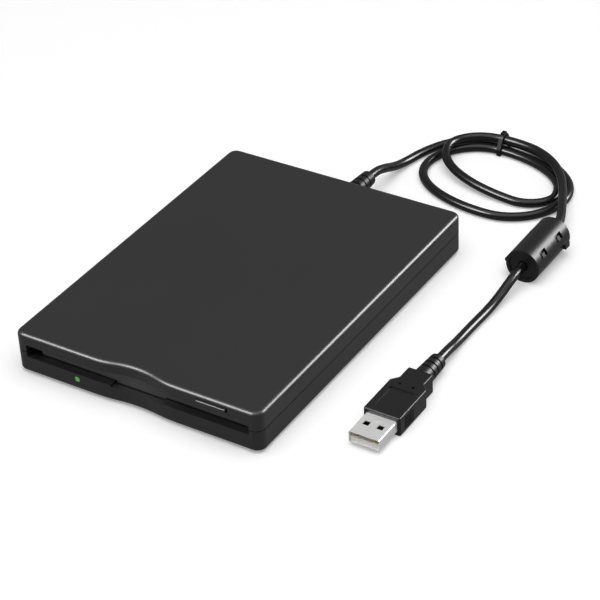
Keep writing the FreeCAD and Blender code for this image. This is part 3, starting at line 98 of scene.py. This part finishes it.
# The coil at the ends of its quarter turns, in the order top, right, near, left
COIL_STATIONS = [
    (32.0, 145.0, 1.8),
    (72.0, 119.0, 1.8),
    (48.5, 95.0, 1.8),
    (9.9, 117.5, 1.8),
    (32.0, 140.8, 1.8),
    (67.3, 119.0, 1.8),
    (53.5, 108.2, 1.8),
    (14.2, 128.0, 5.9),
    (32.0, 142.9, 5.6),
]
TAIL_POINTS = [
    (39.0, 142.9, 5.6),
    (48.0, 141.2, 5.8),
    (57.5, 136.0, 6.0),
    (65.0, 128.0, 6.0),
    (70.5, 118.5, 6.1),
    (75.0, 108.3, 6.4),
    (79.3, 98.8, 6.7),
    (81.2, 89.6, 6.8),
    (81.3, 80.5, 6.8),
    (81.3, 70.5, 6.8),
    (81.2, 61.5, 6.8),
    (81.0, 54.5, 6.2),
    (80.6, 47.0, 3.9),
    (79.9, 38.5, 1.95),
    (79.3, 26.5, 1.8),
    (79.4, 15.0, 2.1),
    (80.0, 6.2, 3.8),
    (80.0, -0.2, 3.8),
]


# Settings
class CameraPlace(bpy.types.PropertyGroup):
    azimuth: FloatProperty(name="Azimuth", description="Turn round the drive from its front",
                           subtype="ANGLE", default=math.radians(33.471))
    elevation: FloatProperty(name="Elevation", description="Height above the table as an angle",
                             subtype="ANGLE", default=math.radians(34.729))
    roll: FloatProperty(name="Roll", description="Tilt of the picture", subtype="ANGLE",
                        default=math.radians(-3.092))
    distance: FloatProperty(name="Distance", description="From the target to the camera", unit="LENGTH",
                            default=0.80119)
    target: FloatVectorProperty(name="Target", description="Point that the camera looks at", subtype="XYZ",
                                default=(0.01526, 0.01228, 0.001))
    lens: FloatProperty(name="Lens", description="Focal length in millimetres", default=130.27)


class CordLook(bpy.types.PropertyGroup):
    diameter: FloatProperty(name="Diameter", description="Thickness of the lead", unit="LENGTH",
                            default=0.0036)
    points_per_quarter: IntProperty(name="Points per quarter",
                                    description="Points in each quarter turn of the coil", default=4)
    colour: FloatVectorProperty(name="Colour", description="Colour of the jacket", subtype="COLOR",
                                default=(0.006, 0.006, 0.0065))


class CaseLook(bpy.types.PropertyGroup):
    top_colour: FloatVectorProperty(name="Cover colour", description="Colour of the cover", subtype="COLOR",
                                    default=(0.0165, 0.0165, 0.017))
    base_colour: FloatVectorProperty(name="Base colour", description="Colour of the lower half",
                                     subtype="COLOR", default=(0.017, 0.017, 0.0175))
    # The flap's colour is painted lighter than the case: painted light that makes up for the shade the lip
    # casts on it
    flap_colour_painted_lighter: FloatVectorProperty(name="Flap colour", description="Colour of the flap", subtype="COLOR",
                                     default=(0.075, 0.075, 0.076))
    grain_scale: FloatProperty(name="Grain scale", description="Bumps of the moulded grain per metre",
                               default=2600.0)
    light_colour: FloatVectorProperty(name="Light colour", description="Colour of the lit status light",
                                      subtype="COLOR", default=(0.05, 0.3, 0.04))


class StageLook(bpy.types.PropertyGroup):
    floor_colour: FloatVectorProperty(name="Floor colour", description="Colour of the table",
                                      subtype="COLOR", default=(0.92, 0.92, 0.92))
    top_lamp: FloatProperty(name="Top lamp", description="Power of the lamp overhead", unit="POWER",
                            default=10.5)
    side_lamp: FloatProperty(name="Side lamp", description="Power of the lamp behind on the right",
                             unit="POWER", default=19.0)
    front_lamp: FloatProperty(name="Front lamp", description="Power of the lamp in front on the left",
                              unit="POWER", default=19.0)
    world_strength: FloatProperty(name="Room light", description="Strength of the light from all round",
                                  default=0.27)


SETTINGS = {"camera_place": CameraPlace, "cord_look": CordLook, "case_look": CaseLook,
            "stage_look": StageLook}


# Node effects
def new_group(name, inputs, outputs):
    """An empty node group with its named inputs and outputs."""
    group = bpy.data.node_groups.new(name, "ShaderNodeTree")
    for label, kind, default in inputs:
        socket = group.interface.new_socket(name=label, in_out="INPUT", socket_type=kind)
        socket.default_value = default
    for label, kind in outputs:
        group.interface.new_socket(name=label, in_out="OUTPUT", socket_type=kind)
    return group, group.nodes.new("NodeGroupInput"), group.nodes.new("NodeGroupOutput")


def math_node(tree, operation, *values):
    node = tree.nodes.new("ShaderNodeMath")
    node.operation = operation
    for number, value in enumerate(values):
        if isinstance(value, bpy.types.NodeSocket):
            tree.links.new(value, node.inputs[number])
        else:
            node.inputs[number].default_value = value
    return node.outputs[0]


def map_range(tree, value, low, high):
    """Takes a pattern's value from 0 to 1 to the range from low to high."""
    node = tree.nodes.new("ShaderNodeMapRange")
    for number, item in ((0, value), (3, low), (4, high)):
        if isinstance(item, bpy.types.NodeSocket):
            tree.links.new(item, node.inputs[number])
        else:
            node.inputs[number].default_value = item
    return node.outputs[0]


def texture(tree, kind, vector, scale, **settings):
    node = tree.nodes.new(kind)
    for name, value in settings.items():
        if name in node.inputs:
            node.inputs[name].default_value = value
        else:
            setattr(node, name, value)
    tree.links.new(vector, node.inputs["Vector"])
    if isinstance(scale, bpy.types.NodeSocket):
        tree.links.new(scale, node.inputs["Scale"])
    else:
        node.inputs["Scale"].default_value = scale
    return node


FLOAT = "NodeSocketFloat"
COLOUR = "NodeSocketColor"
VECTOR = "NodeSocketVector"


def moulded_effect():
    """Fine pebbled grain of moulded plastic, with slow drifts in tone and gloss."""
    group, given, result = new_group(
        "moulded_grain",
        [("Colour", COLOUR, (0.04, 0.04, 0.04, 1)), ("Vector", VECTOR, (0, 0, 0)),
         ("Grain scale", FLOAT, 2600.0),
         ("Grain depth", FLOAT, 0.2), ("Gloss low", FLOAT, 0.45), ("Gloss high", FLOAT, 0.6),
         ("Tone drift", FLOAT, 0.08)],
        [("Colour", COLOUR), ("Roughness", FLOAT), ("Normal", VECTOR)],
    )
    place = given.outputs["Vector"]
    pebbles = texture(group, "ShaderNodeTexVoronoi", place, given.outputs["Grain scale"],
                      feature="SMOOTH_F1")
    fine = texture(group, "ShaderNodeTexNoise", place, given.outputs["Grain scale"], Detail=3.0)
    slow = texture(group, "ShaderNodeTexNoise", place, 34.0, Detail=4.0, Roughness=0.6)
    height = math_node(group, "ADD", pebbles.outputs["Distance"], fine.outputs["Fac"])
    bump = group.nodes.new("ShaderNodeBump")
    bump.inputs["Distance"].default_value = GRAIN_HEIGHT
    group.links.new(given.outputs["Grain depth"], bump.inputs["Strength"])
    group.links.new(height, bump.inputs["Height"])
    spread = math_node(group, "ADD", 1.0, given.outputs["Tone drift"])
    narrow = math_node(group, "SUBTRACT", 1.0, given.outputs["Tone drift"])
    tone = group.nodes.new("ShaderNodeVectorMath")
    tone.operation = "SCALE"
    group.links.new(given.outputs["Colour"], tone.inputs[0])
    group.links.new(map_range(group, slow.outputs["Fac"], narrow, spread), tone.inputs["Scale"])
    group.links.new(tone.outputs[0], result.inputs["Colour"])
    gloss = map_range(group, slow.outputs["Fac"], given.outputs["Gloss low"], given.outputs["Gloss high"])
    group.links.new(gloss, result.inputs["Roughness"])
    group.links.new(bump.outputs[0], result.inputs["Normal"])
    return group


def drawn_effect():
    """Fine lines that rolling, turning or brushing leaves along metal, with a few smudges."""
    group, given, result = new_group(
        "drawn_metal",
        [("Colour", COLOUR, (0.6, 0.6, 0.6, 1)), ("Vector", VECTOR, (0, 0, 0)),
         ("Stretch", VECTOR, (30, 1, 30)),
         ("Line scale", FLOAT, 120.0), ("Line depth", FLOAT, 0.15), ("Gloss low", FLOAT, 0.22),
         ("Gloss high", FLOAT, 0.4)],
        [("Colour", COLOUR), ("Roughness", FLOAT), ("Normal", VECTOR)],
    )
    stretched = group.nodes.new("ShaderNodeVectorMath")
    stretched.operation = "MULTIPLY"
    group.links.new(given.outputs["Vector"], stretched.inputs[0])
    group.links.new(given.outputs["Stretch"], stretched.inputs[1])
    lines = texture(group, "ShaderNodeTexNoise", stretched.outputs[0], given.outputs["Line scale"],
                    Detail=4.0)
    smudge = texture(group, "ShaderNodeTexNoise", given.outputs["Vector"], 90.0, Detail=3.0)
    mixed = math_node(group, "MULTIPLY_ADD", lines.outputs["Fac"], 0.6,
                      math_node(group, "MULTIPLY", smudge.outputs["Fac"], 0.4))
    bump = group.nodes.new("ShaderNodeBump")
    bump.inputs["Distance"].default_value = LINE_HEIGHT
    group.links.new(given.outputs["Line depth"], bump.inputs["Strength"])
    group.links.new(lines.outputs["Fac"], bump.inputs["Height"])
    tone = group.nodes.new("ShaderNodeVectorMath")
    tone.operation = "SCALE"
    group.links.new(given.outputs["Colour"], tone.inputs[0])
    group.links.new(map_range(group, mixed, 0.85, 1.1), tone.inputs["Scale"])
    group.links.new(tone.outputs[0], result.inputs["Colour"])
    gloss = map_range(group, mixed, given.outputs["Gloss low"], given.outputs["Gloss high"])
    group.links.new(gloss, result.inputs["Roughness"])
    group.links.new(bump.outputs[0], result.inputs["Normal"])
    return group


def board_effect():
    """Lacquered circuit board with raised tracks that run in steps, and tinned pads."""
    group, given, result = new_group(
        "circuit_board",
        [("Colour", COLOUR, (0.03, 0.2, 0.09, 1)), ("Track colour", COLOUR, (0.06, 0.33, 0.14, 1)),
         ("Vector", VECTOR, (0, 0, 0))],
        [("Colour", COLOUR), ("Metallic", FLOAT), ("Roughness", FLOAT), ("Normal", VECTOR)],
    )
    place = given.outputs["Vector"]
    tracks = texture(group, "ShaderNodeTexBrick", place, 220.0, offset=0.37, squash=1.6)
    for name, value in (("Mortar Size", 0.11), ("Brick Width", 1.7), ("Row Height", 0.32)):
        tracks.inputs[name].default_value = value
    pads = texture(group, "ShaderNodeTexVoronoi", place, 240.0, Randomness=0.55)
    is_pad = math_node(group, "LESS_THAN", pads.outputs["Distance"], 0.11)
    mix = group.nodes.new("ShaderNodeMix")
    mix.data_type = "RGBA"
    group.links.new(tracks.outputs["Fac"], mix.inputs["Factor"])
    group.links.new(given.outputs["Colour"], mix.inputs["A"])
    group.links.new(given.outputs["Track colour"], mix.inputs["B"])
    tin = group.nodes.new("ShaderNodeMix")
    tin.data_type = "RGBA"
    tin.inputs["B"].default_value = (0.62, 0.61, 0.56, 1)
    group.links.new(is_pad, tin.inputs["Factor"])
    group.links.new(mix.outputs["Result"], tin.inputs["A"])
    bump = group.nodes.new("ShaderNodeBump")
    bump.inputs["Distance"].default_value = TRACK_HEIGHT
    group.links.new(math_node(group, "MAXIMUM", tracks.outputs["Fac"], is_pad), bump.inputs["Height"])
    group.links.new(tin.outputs["Result"], result.inputs["Colour"])
    group.links.new(is_pad, result.inputs["Metallic"])
    group.links.new(map_range(group, is_pad, 0.32, 0.25), result.inputs["Roughness"])
    group.links.new(bump.outputs[0], result.inputs["Normal"])
    return group


def effect(maker, name):
    return bpy.data.node_groups.get(name) or maker()


def base_material(name):
    material = bpy.data.materials.new(name)
    material.use_nodes = True
    tree = material.node_tree
    shader = next(node for node in tree.nodes if node.type == "BSDF_PRINCIPLED")
    place = tree.nodes.new("ShaderNodeTexCoord").outputs["Object"]
    return material, tree, shader, place


def through_group(tree, shader, place, group, colour, settings, outputs=("Colour", "Roughness", "Normal")):
    """Puts an effect in front of the shader."""
    node = tree.nodes.new("ShaderNodeGroup")
    node.node_tree = group
    node.inputs["Colour"].default_value = (*colour, 1)
    tree.links.new(place, node.inputs["Vector"])
    for label, value in settings.items():
        node.inputs[label].default_value = value
    sockets = {"Colour": "Base Color"}
    for label in outputs:
        tree.links.new(node.outputs[label], shader.inputs[sockets.get(label, label)])
    return node


def plastic(name, colour, gloss, grain, depth, drift=0.08, specular=0.5):
    material, tree, shader, place = base_material(name)
    settings = {"Gloss low": gloss[0], "Gloss high": gloss[1], "Grain scale": grain, "Grain depth": depth,
                "Tone drift": drift}
    through_group(tree, shader, place, effect(moulded_effect, "moulded_grain"), colour, settings)
    shader.inputs["Specular IOR Level"].default_value = specular
    return material


def metal(name, colour, gloss=(0.22, 0.4), stretch=(30, 1, 30), scale=120.0, depth=0.15, metallic=1.0):
    material, tree, shader, place = base_material(name)
    settings = {"Gloss low": gloss[0], "Gloss high": gloss[1], "Stretch": stretch, "Line scale": scale,
                "Line depth": depth}
    through_group(tree, shader, place, effect(drawn_effect, "drawn_metal"), colour, settings)
    shader.inputs["Metallic"].default_value = metallic
    return material


def board(name, colour, track):
    material, tree, shader, place = base_material(name)
    node = through_group(tree, shader, place, effect(board_effect, "circuit_board"), colour,
                         {"Track colour": (*track, 1)},
                         ("Colour", "Metallic", "Roughness", "Normal"))
    node.label = "Tracks and pads"
    shader.inputs["Coat Weight"].default_value = 0.4
    return material


def lit_lens(name, colour):
    """Translucent lens with a light behind it, brighter in the middle."""
    material, tree, shader, place = base_material(name)
    through_group(tree, shader, place, effect(moulded_effect, "moulded_grain"), colour,
                  {"Gloss low": 0.2, "Gloss high": 0.3, "Grain depth": 0.05})
    facing = tree.nodes.new("ShaderNodeLayerWeight")
    facing.inputs["Blend"].default_value = 0.4
    ramp = tree.nodes.new("ShaderNodeValToRGB")
    ramp.color_ramp.elements[0].color = LENS_MIDDLE
    ramp.color_ramp.elements[1].color = (*colour, 1)
    tree.links.new(facing.outputs["Facing"], ramp.inputs[0])
    tree.links.new(ramp.outputs[0], shader.inputs["Emission Color"])
    shader.inputs["Emission Strength"].default_value = LENS_GLOW
    return material


# Pieces
def dress(node, material):
    """Gives a solid of the frame its material."""
    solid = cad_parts[node]
    solid.data.materials.clear()
    solid.data.materials.append(material)
    return solid


def quarter(start, end, number, count):
    """Points of a quarter turn of the coil, as a quarter of an ellipse that climbs evenly."""
    points = []
    for step in range(count):
        turn = math.pi / 2 * step / count
        first, second = math.sin(turn), 1 - math.cos(turn)
        across, along = (first, second) if number % 2 == 0 else (second, first)
        x = start[0] + (end[0] - start[0]) * across
        y = start[1] + (end[1] - start[1]) * along
        points.append((x, y, start[2] + (end[2] - start[2]) * step / count))
    return points


def cord_route(count):
    points = list(LEAD_POINTS)
    for number, (start, end) in enumerate(zip(COIL_STATIONS, COIL_STATIONS[1:])):
        points += quarter(start, end, number, count)
    return points + [COIL_STATIONS[-1]] + TAIL_POINTS


class DRIVE_OT_camera(bpy.types.Operator):
    """Places the camera"""
    bl_idname = "drive.camera"
    bl_label = "Camera"

    def execute(self, context):
        given = context.scene.camera_place
        az, el, roll = given.azimuth, given.elevation, given.roll
        back = Vector((math.sin(az) * math.cos(el), -math.cos(az) * math.cos(el), math.sin(el)))
        level = Vector((math.cos(az), math.sin(az), 0))
        upright = back.cross(level)
        right = level * math.cos(roll) + upright * math.sin(roll)
        up = upright * math.cos(roll) - level * math.sin(roll)
        data = bpy.data.cameras.new("camera")
        data.lens = given.lens
        data.sensor_width = 36.0
        camera = bpy.data.objects.new("camera", data)
        context.scene.collection.objects.link(camera)
        turn = Matrix((right, up, back)).transposed().to_4x4()
        camera.matrix_world = Matrix.Translation(Vector(given.target) + back * given.distance) @ turn
        context.scene.camera = camera
        return {"FINISHED"}


class DRIVE_OT_lead(bpy.types.Operator):
    """Makes the lead as one smooth line through its loops"""
    bl_idname = "drive.lead"
    bl_label = "Lead"

    def execute(self, context):
        given = context.scene.cord_look
        points = cord_route(given.points_per_quarter)
        data = bpy.data.curves.new("lead", "CURVE")
        data.dimensions = "3D"
        data.bevel_depth = given.diameter / 2
        data.bevel_resolution = 6
        data.resolution_u = 8
        data.use_fill_caps = True
        spline = data.splines.new("NURBS")
        spline.points.add(len(points) - 1)
        for point, place in zip(spline.points, points):
            point.co = (*(value * MM for value in place), 1)
        spline.order_u = 3
        spline.use_endpoint_u = True
        lead = bpy.data.objects.new("lead", data)
        context.scene.collection.objects.link(lead)
        data.materials.append(plastic("lead_jacket", given.colour, gloss=(0.24, 0.28), grain=1500.0,
                                      depth=0.0, drift=0.1, specular=0.35))
        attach(lead, "case")
        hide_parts("cord_lead", "cord_coil", "cord_tail")
        return {"FINISHED"}


class DRIVE_OT_case(bpy.types.Operator):
    """Finishes the two halves of the case, the feet and the screws"""
    bl_idname = "drive.case"
    bl_label = "Case"

    def execute(self, context):
        given = context.scene.case_look
        dress("top_shell",
              plastic("cover_plastic", given.top_colour, gloss=(0.34, 0.4), grain=given.grain_scale,
                      depth=0.05, drift=0.05, specular=0.5))
        dress("bottom_shell",
              plastic("base_plastic", given.base_colour, gloss=(0.33, 0.39), grain=given.grain_scale,
                      depth=0.06, drift=0.05, specular=0.4))
        dress("rubber_feet",
              plastic("foot_rubber", (0.018, 0.018, 0.018), gloss=(0.7, 0.85), grain=1200.0, depth=0.3,
                      drift=0.15))
        dress("case_screws",
              metal("screw_metal", (0.5, 0.5, 0.5), gloss=(0.3, 0.45), stretch=(1, 1, 1), scale=900.0))
        return {"FINISHED"}


class DRIVE_OT_front(bpy.types.Operator):
    """Finishes the flap, the eject key and the status light"""
    bl_idname = "drive.front"
    bl_label = "Front"

    def execute(self, context):
        given = context.scene.case_look
        # The flap is dressed in its lighter colour, which is painted light against the shade of the lip
        dress("dust_flap",
              plastic("flap_plastic", given.flap_colour_painted_lighter, gloss=(0.32, 0.4), grain=given.grain_scale,
                      depth=0.05, drift=0.05, specular=0.2))
        dress("eject_button",
              plastic("key_plastic", given.top_colour, gloss=(0.28, 0.32), grain=given.grain_scale,
                      depth=0.04, drift=0.05, specular=0.6))
        dress("status_light", lit_lens("light_lens", given.light_colour))
        return {"FINISHED"}


class DRIVE_OT_mechanism(bpy.types.Operator):
    """Finishes the frame, the disk holder, the heads and the motors"""
    bl_idname = "drive.mechanism"
    bl_label = "Mechanism"

    def execute(self, context):
        sheet = metal("sheet_metal", (0.55, 0.55, 0.56), gloss=(0.28, 0.42), stretch=(6, 1, 6), scale=160.0,
                      depth=0.1)
        for node in ("chassis_frame", "disk_holder", "slide_plate", "motor_bracket"):
            dress(node, sheet)
        dress("shutter_lever",
              plastic("lever_plastic", (0.68, 0.66, 0.6), gloss=(0.4, 0.5), grain=1500.0, depth=0.1))
        wire = metal("spring_wire", (0.6, 0.6, 0.61), gloss=(0.2, 0.32), stretch=(8, 8, 8), scale=300.0)
        dress("slide_springs", wire)
        dress("flap_spring", wire)
        dress("spindle_bush",
              metal("bush_brass", (0.62, 0.44, 0.16), gloss=(0.25, 0.35), stretch=(1, 1, 1), scale=800.0))
        dress("stator_core",
              metal("core_steel", (0.32, 0.32, 0.33), gloss=(0.35, 0.5), stretch=(1, 1, 40), scale=200.0))
        dress("stator_coils",
              metal("winding_copper", (0.62, 0.24, 0.09), gloss=(0.25, 0.35), stretch=(2, 2, 60),
                    scale=200.0, depth=0.4))
        rotor = metal("rotor_steel", (0.56, 0.56, 0.57), gloss=(0.2, 0.34), stretch=(1, 1, 1), scale=400.0)
        dress("spindle_rotor", rotor)
        dress("spindle_hub", rotor)
        ground = metal("ground_steel", (0.66, 0.66, 0.67), gloss=(0.12, 0.2), stretch=(1, 30, 1),
                       scale=120.0)
        dress("guide_rod", ground)
        dress("lead_screw", ground)
        dress("head_carriage",
              metal("cast_aluminium", (0.5, 0.5, 0.5), gloss=(0.4, 0.55), stretch=(1, 1, 1), scale=1500.0,
                    depth=0.4))
        dress("upper_arm", metal("arm_sheet", (0.56, 0.56, 0.58), gloss=(0.24, 0.36)))
        ceramic = plastic("head_ceramic", (0.09, 0.08, 0.08), gloss=(0.12, 0.2), grain=2000.0, depth=0.03)
        dress("lower_head", ceramic)
        dress("upper_head", ceramic)
        dress("step_motor",
              metal("motor_can", (0.5, 0.5, 0.52), gloss=(0.25, 0.38), stretch=(1, 20, 1), scale=150.0))
        dress("chassis_screws",
              metal("frame_screw_metal", (0.55, 0.5, 0.4), gloss=(0.25, 0.4), stretch=(1, 1, 1),
                    scale=900.0))
        dress("switch_housings",
              plastic("switch_plastic", (0.02, 0.02, 0.02), gloss=(0.4, 0.5), grain=2000.0, depth=0.1))
        white = plastic("plunger_plastic", (0.7, 0.69, 0.64), gloss=(0.35, 0.45), grain=2000.0, depth=0.08)
        for node in ("write_protect_plunger", "density_plunger", "disk_in_plunger"):
            dress(node, white)
        return {"FINISHED"}


class DRIVE_OT_boards(bpy.types.Operator):
    """Finishes the two circuit boards and what is soldered to them"""
    bl_idname = "drive.boards"
    bl_label = "Boards"

    def execute(self, context):
        dress("drive_board", board("drive_board_lacquer", (0.02, 0.14, 0.06), (0.05, 0.26, 0.11)))
        dress("usb_board", board("usb_board_lacquer", (0.02, 0.1, 0.16), (0.04, 0.2, 0.3)))
        chip = plastic("chip_resin", (0.022, 0.022, 0.023), gloss=(0.4, 0.55), grain=3000.0, depth=0.15)
        for node in ("drive_board_chips", "usb_controller_chip", "usb_board_parts"):
            dress(node, chip)
        dress("crystal_can", metal("crystal_metal", (0.6, 0.6, 0.61), gloss=(0.18, 0.3)))
        film = plastic("ribbon_film", (0.42, 0.24, 0.07), gloss=(0.2, 0.3), grain=500.0, depth=0.05,
                       drift=0.2)
        dress("head_ribbon", film)
        dress("ribbon_cable", film)
        dress("ribbon_sockets",
              plastic("socket_plastic", (0.7, 0.68, 0.62), gloss=(0.4, 0.5), grain=1800.0, depth=0.08))
        return {"FINISHED"}


class DRIVE_OT_relief(bpy.types.Operator):
    """Finishes the strain relief, the plug's boot and the tie"""
    bl_idname = "drive.relief"
    bl_label = "Strain reliefs"

    def execute(self, context):
        rubber = plastic("boot_rubber", (0.009, 0.009, 0.0095), gloss=(0.32, 0.42), grain=1600.0,
                         depth=0.06, drift=0.1, specular=0.25)
        dress("strain_relief", rubber)
        dress("plug_boot", rubber)
        dress("cable_tie",
              plastic("tie_plastic", (0.007, 0.007, 0.0075), gloss=(0.34, 0.42), grain=1800.0, depth=0.06,
                      drift=0.1, specular=0.2))
        return {"FINISHED"}


class DRIVE_OT_ferrite(bpy.types.Operator):
    """Finishes the snap-on ferrite"""
    bl_idname = "drive.ferrite"
    bl_label = "Ferrite"

    def execute(self, context):
        cover = plastic("ferrite_plastic", (0.012, 0.012, 0.013), gloss=(0.32, 0.4), grain=1800.0,
                        depth=0.06, drift=0.06, specular=0.25)
        dress("ferrite_cover_lower", cover)
        dress("ferrite_cover_upper", cover)
        core = plastic("ferrite_ceramic", (0.05, 0.05, 0.05), gloss=(0.5, 0.7), grain=1500.0, depth=0.4,
                       drift=0.2)
        dress("ferrite_core_lower", core)
        dress("ferrite_core_upper", core)
        return {"FINISHED"}


class DRIVE_OT_plug(bpy.types.Operator):
    """Finishes the plug"""
    bl_idname = "drive.plug"
    bl_label = "Plug"

    def execute(self, context):
        dress("plug_grip",
              plastic("grip_plastic", (0.009, 0.009, 0.0095), gloss=(0.3, 0.4), grain=1800.0, depth=0.08,
                      drift=0.06, specular=0.3))
        dress("plug_shell",
              metal("shell_nickel", (0.86, 0.86, 0.85), gloss=(0.3, 0.42), stretch=(1, 12, 1), scale=150.0,
                    depth=0.05, metallic=0.45))
        tongue = dress("plug_tongue",
                       plastic("tongue_plastic", (0.75, 0.74, 0.7), gloss=(0.35, 0.45), grain=1800.0,
                               depth=0.05))
        # The tongue's back is painted near-black: painted shade for the inside of the shell, seen through
        # its windows
        tongue.data.materials.append(plastic("tongue_back", (0.008, 0.008, 0.008), gloss=(0.6, 0.7),
                                             grain=1800.0, depth=0.05))
        front = front_of("plug_tongue")
        for face in tongue.data.polygons:
            middle = tongue.matrix_world @ face.center
            face.material_index = int(middle.y > front + TONGUE_FRONT)
        dress("plug_contacts",
              metal("contact_gold", (0.85, 0.6, 0.2), gloss=(0.15, 0.25), stretch=(1, 12, 1), scale=200.0,
                    depth=0.05))
        return {"FINISHED"}


class DRIVE_OT_stage(bpy.types.Operator):
    """Makes the table and the lamps"""
    bl_idname = "drive.stage"
    bl_label = "Stage"

    def execute(self, context):
        given = context.scene.stage_look
        self.make_floor(context, given)
        for name, width, place, only_sheen in LAMPS:
            self.make_lamp(context, name, getattr(given, name), width, place, only_sheen)
        world = bpy.data.worlds.new("room")
        world.use_nodes = True
        world.node_tree.nodes["Background"].inputs["Color"].default_value = (1, 1, 1, 1)
        world.node_tree.nodes["Background"].inputs["Strength"].default_value = given.world_strength
        context.scene.world = world
        context.scene.view_settings.view_transform = "Standard"
        return {"FINISHED"}

    def make_floor(self, context, given):
        """A white table that glows where it is seen, with its own colour dimmed for glossy rays."""
        table = bmesh.new()
        bmesh.ops.create_grid(table, x_segments=1, y_segments=1, size=3.0)
        data = bpy.data.meshes.new("table_top")
        table.to_mesh(data)
        table.free()
        floor = bpy.data.objects.new("table_top", data)
        context.scene.collection.objects.link(floor)
        material, tree, shader, _ = base_material("table_white")
        shader.inputs["Roughness"].default_value = 0.9
        shader.inputs["Specular IOR Level"].default_value = 0.1
        rays = tree.nodes.new("ShaderNodeLightPath")
        mirrored = math_node(tree, "MAXIMUM", rays.outputs["Is Glossy Ray"],
                             rays.outputs["Is Transmission Ray"])
        seen = math_node(tree, "MAXIMUM", rays.outputs["Is Camera Ray"], mirrored)
        glow = math_node(tree, "MULTIPLY", seen, FLOOR_GLOW)
        dimmed = math_node(tree, "MULTIPLY_ADD", rays.outputs["Is Glossy Ray"], -FLOOR_DIMMING, 1.0)
        tone = tree.nodes.new("ShaderNodeVectorMath")
        tone.operation = "SCALE"
        tone.inputs[0].default_value = given.floor_colour
        tree.links.new(dimmed, tone.inputs["Scale"])
        tree.links.new(tone.outputs[0], shader.inputs["Base Color"])
        shader.inputs["Emission Color"].default_value = (1, 1, 1, 1)
        tree.links.new(glow, shader.inputs["Emission Strength"])
        data.materials.append(material)

    def make_lamp(self, context, name, power, width, place, only_sheen):
        """An area lamp that looks at the drive, where only_sheen lights the glossy edges alone."""
        data = bpy.data.lights.new(name, "AREA")
        data.shape = "SQUARE"
        data.size = width
        data.energy = power
        lamp = bpy.data.objects.new(name, data)
        context.scene.collection.objects.link(lamp)
        lamp.location = place
        lamp.visible_diffuse = not only_sheen
        lamp.rotation_euler = (Vector(LAMP_AIM) - Vector(place)).to_track_quat("-Z", "Y").to_euler()


STEPS = [DRIVE_OT_camera, DRIVE_OT_lead, DRIVE_OT_case, DRIVE_OT_front, DRIVE_OT_mechanism, DRIVE_OT_boards,
         DRIVE_OT_relief, DRIVE_OT_ferrite, DRIVE_OT_plug, DRIVE_OT_stage]


class DRIVE_PT_panel(bpy.types.Panel):
    """Lists the drive's pieces"""
    bl_idname = "DRIVE_PT_panel"
    bl_label = "Floppy drive"
    bl_space_type = "VIEW_3D"
    bl_region_type = "UI"
    bl_category = "Drive"

    def draw(self, context):
        for step in STEPS:
            self.layout.operator(step.bl_idname)


def register():
    for cls in [*SETTINGS.values(), *STEPS, DRIVE_PT_panel]:
        bpy.utils.register_class(cls)
    for name, cls in SETTINGS.items():
        setattr(bpy.types.Scene, name, PointerProperty(type=cls))


def unregister():
    for name in SETTINGS:
        delattr(bpy.types.Scene, name)
    for cls in reversed([*SETTINGS.values(), *STEPS, DRIVE_PT_panel]):
        bpy.utils.unregister_class(cls)


def main():
    register()
    for step in STEPS:
        family, name = step.bl_idname.split(".")
        getattr(getattr(bpy.ops, family), name)()


if __name__ == "__main__":
    main()
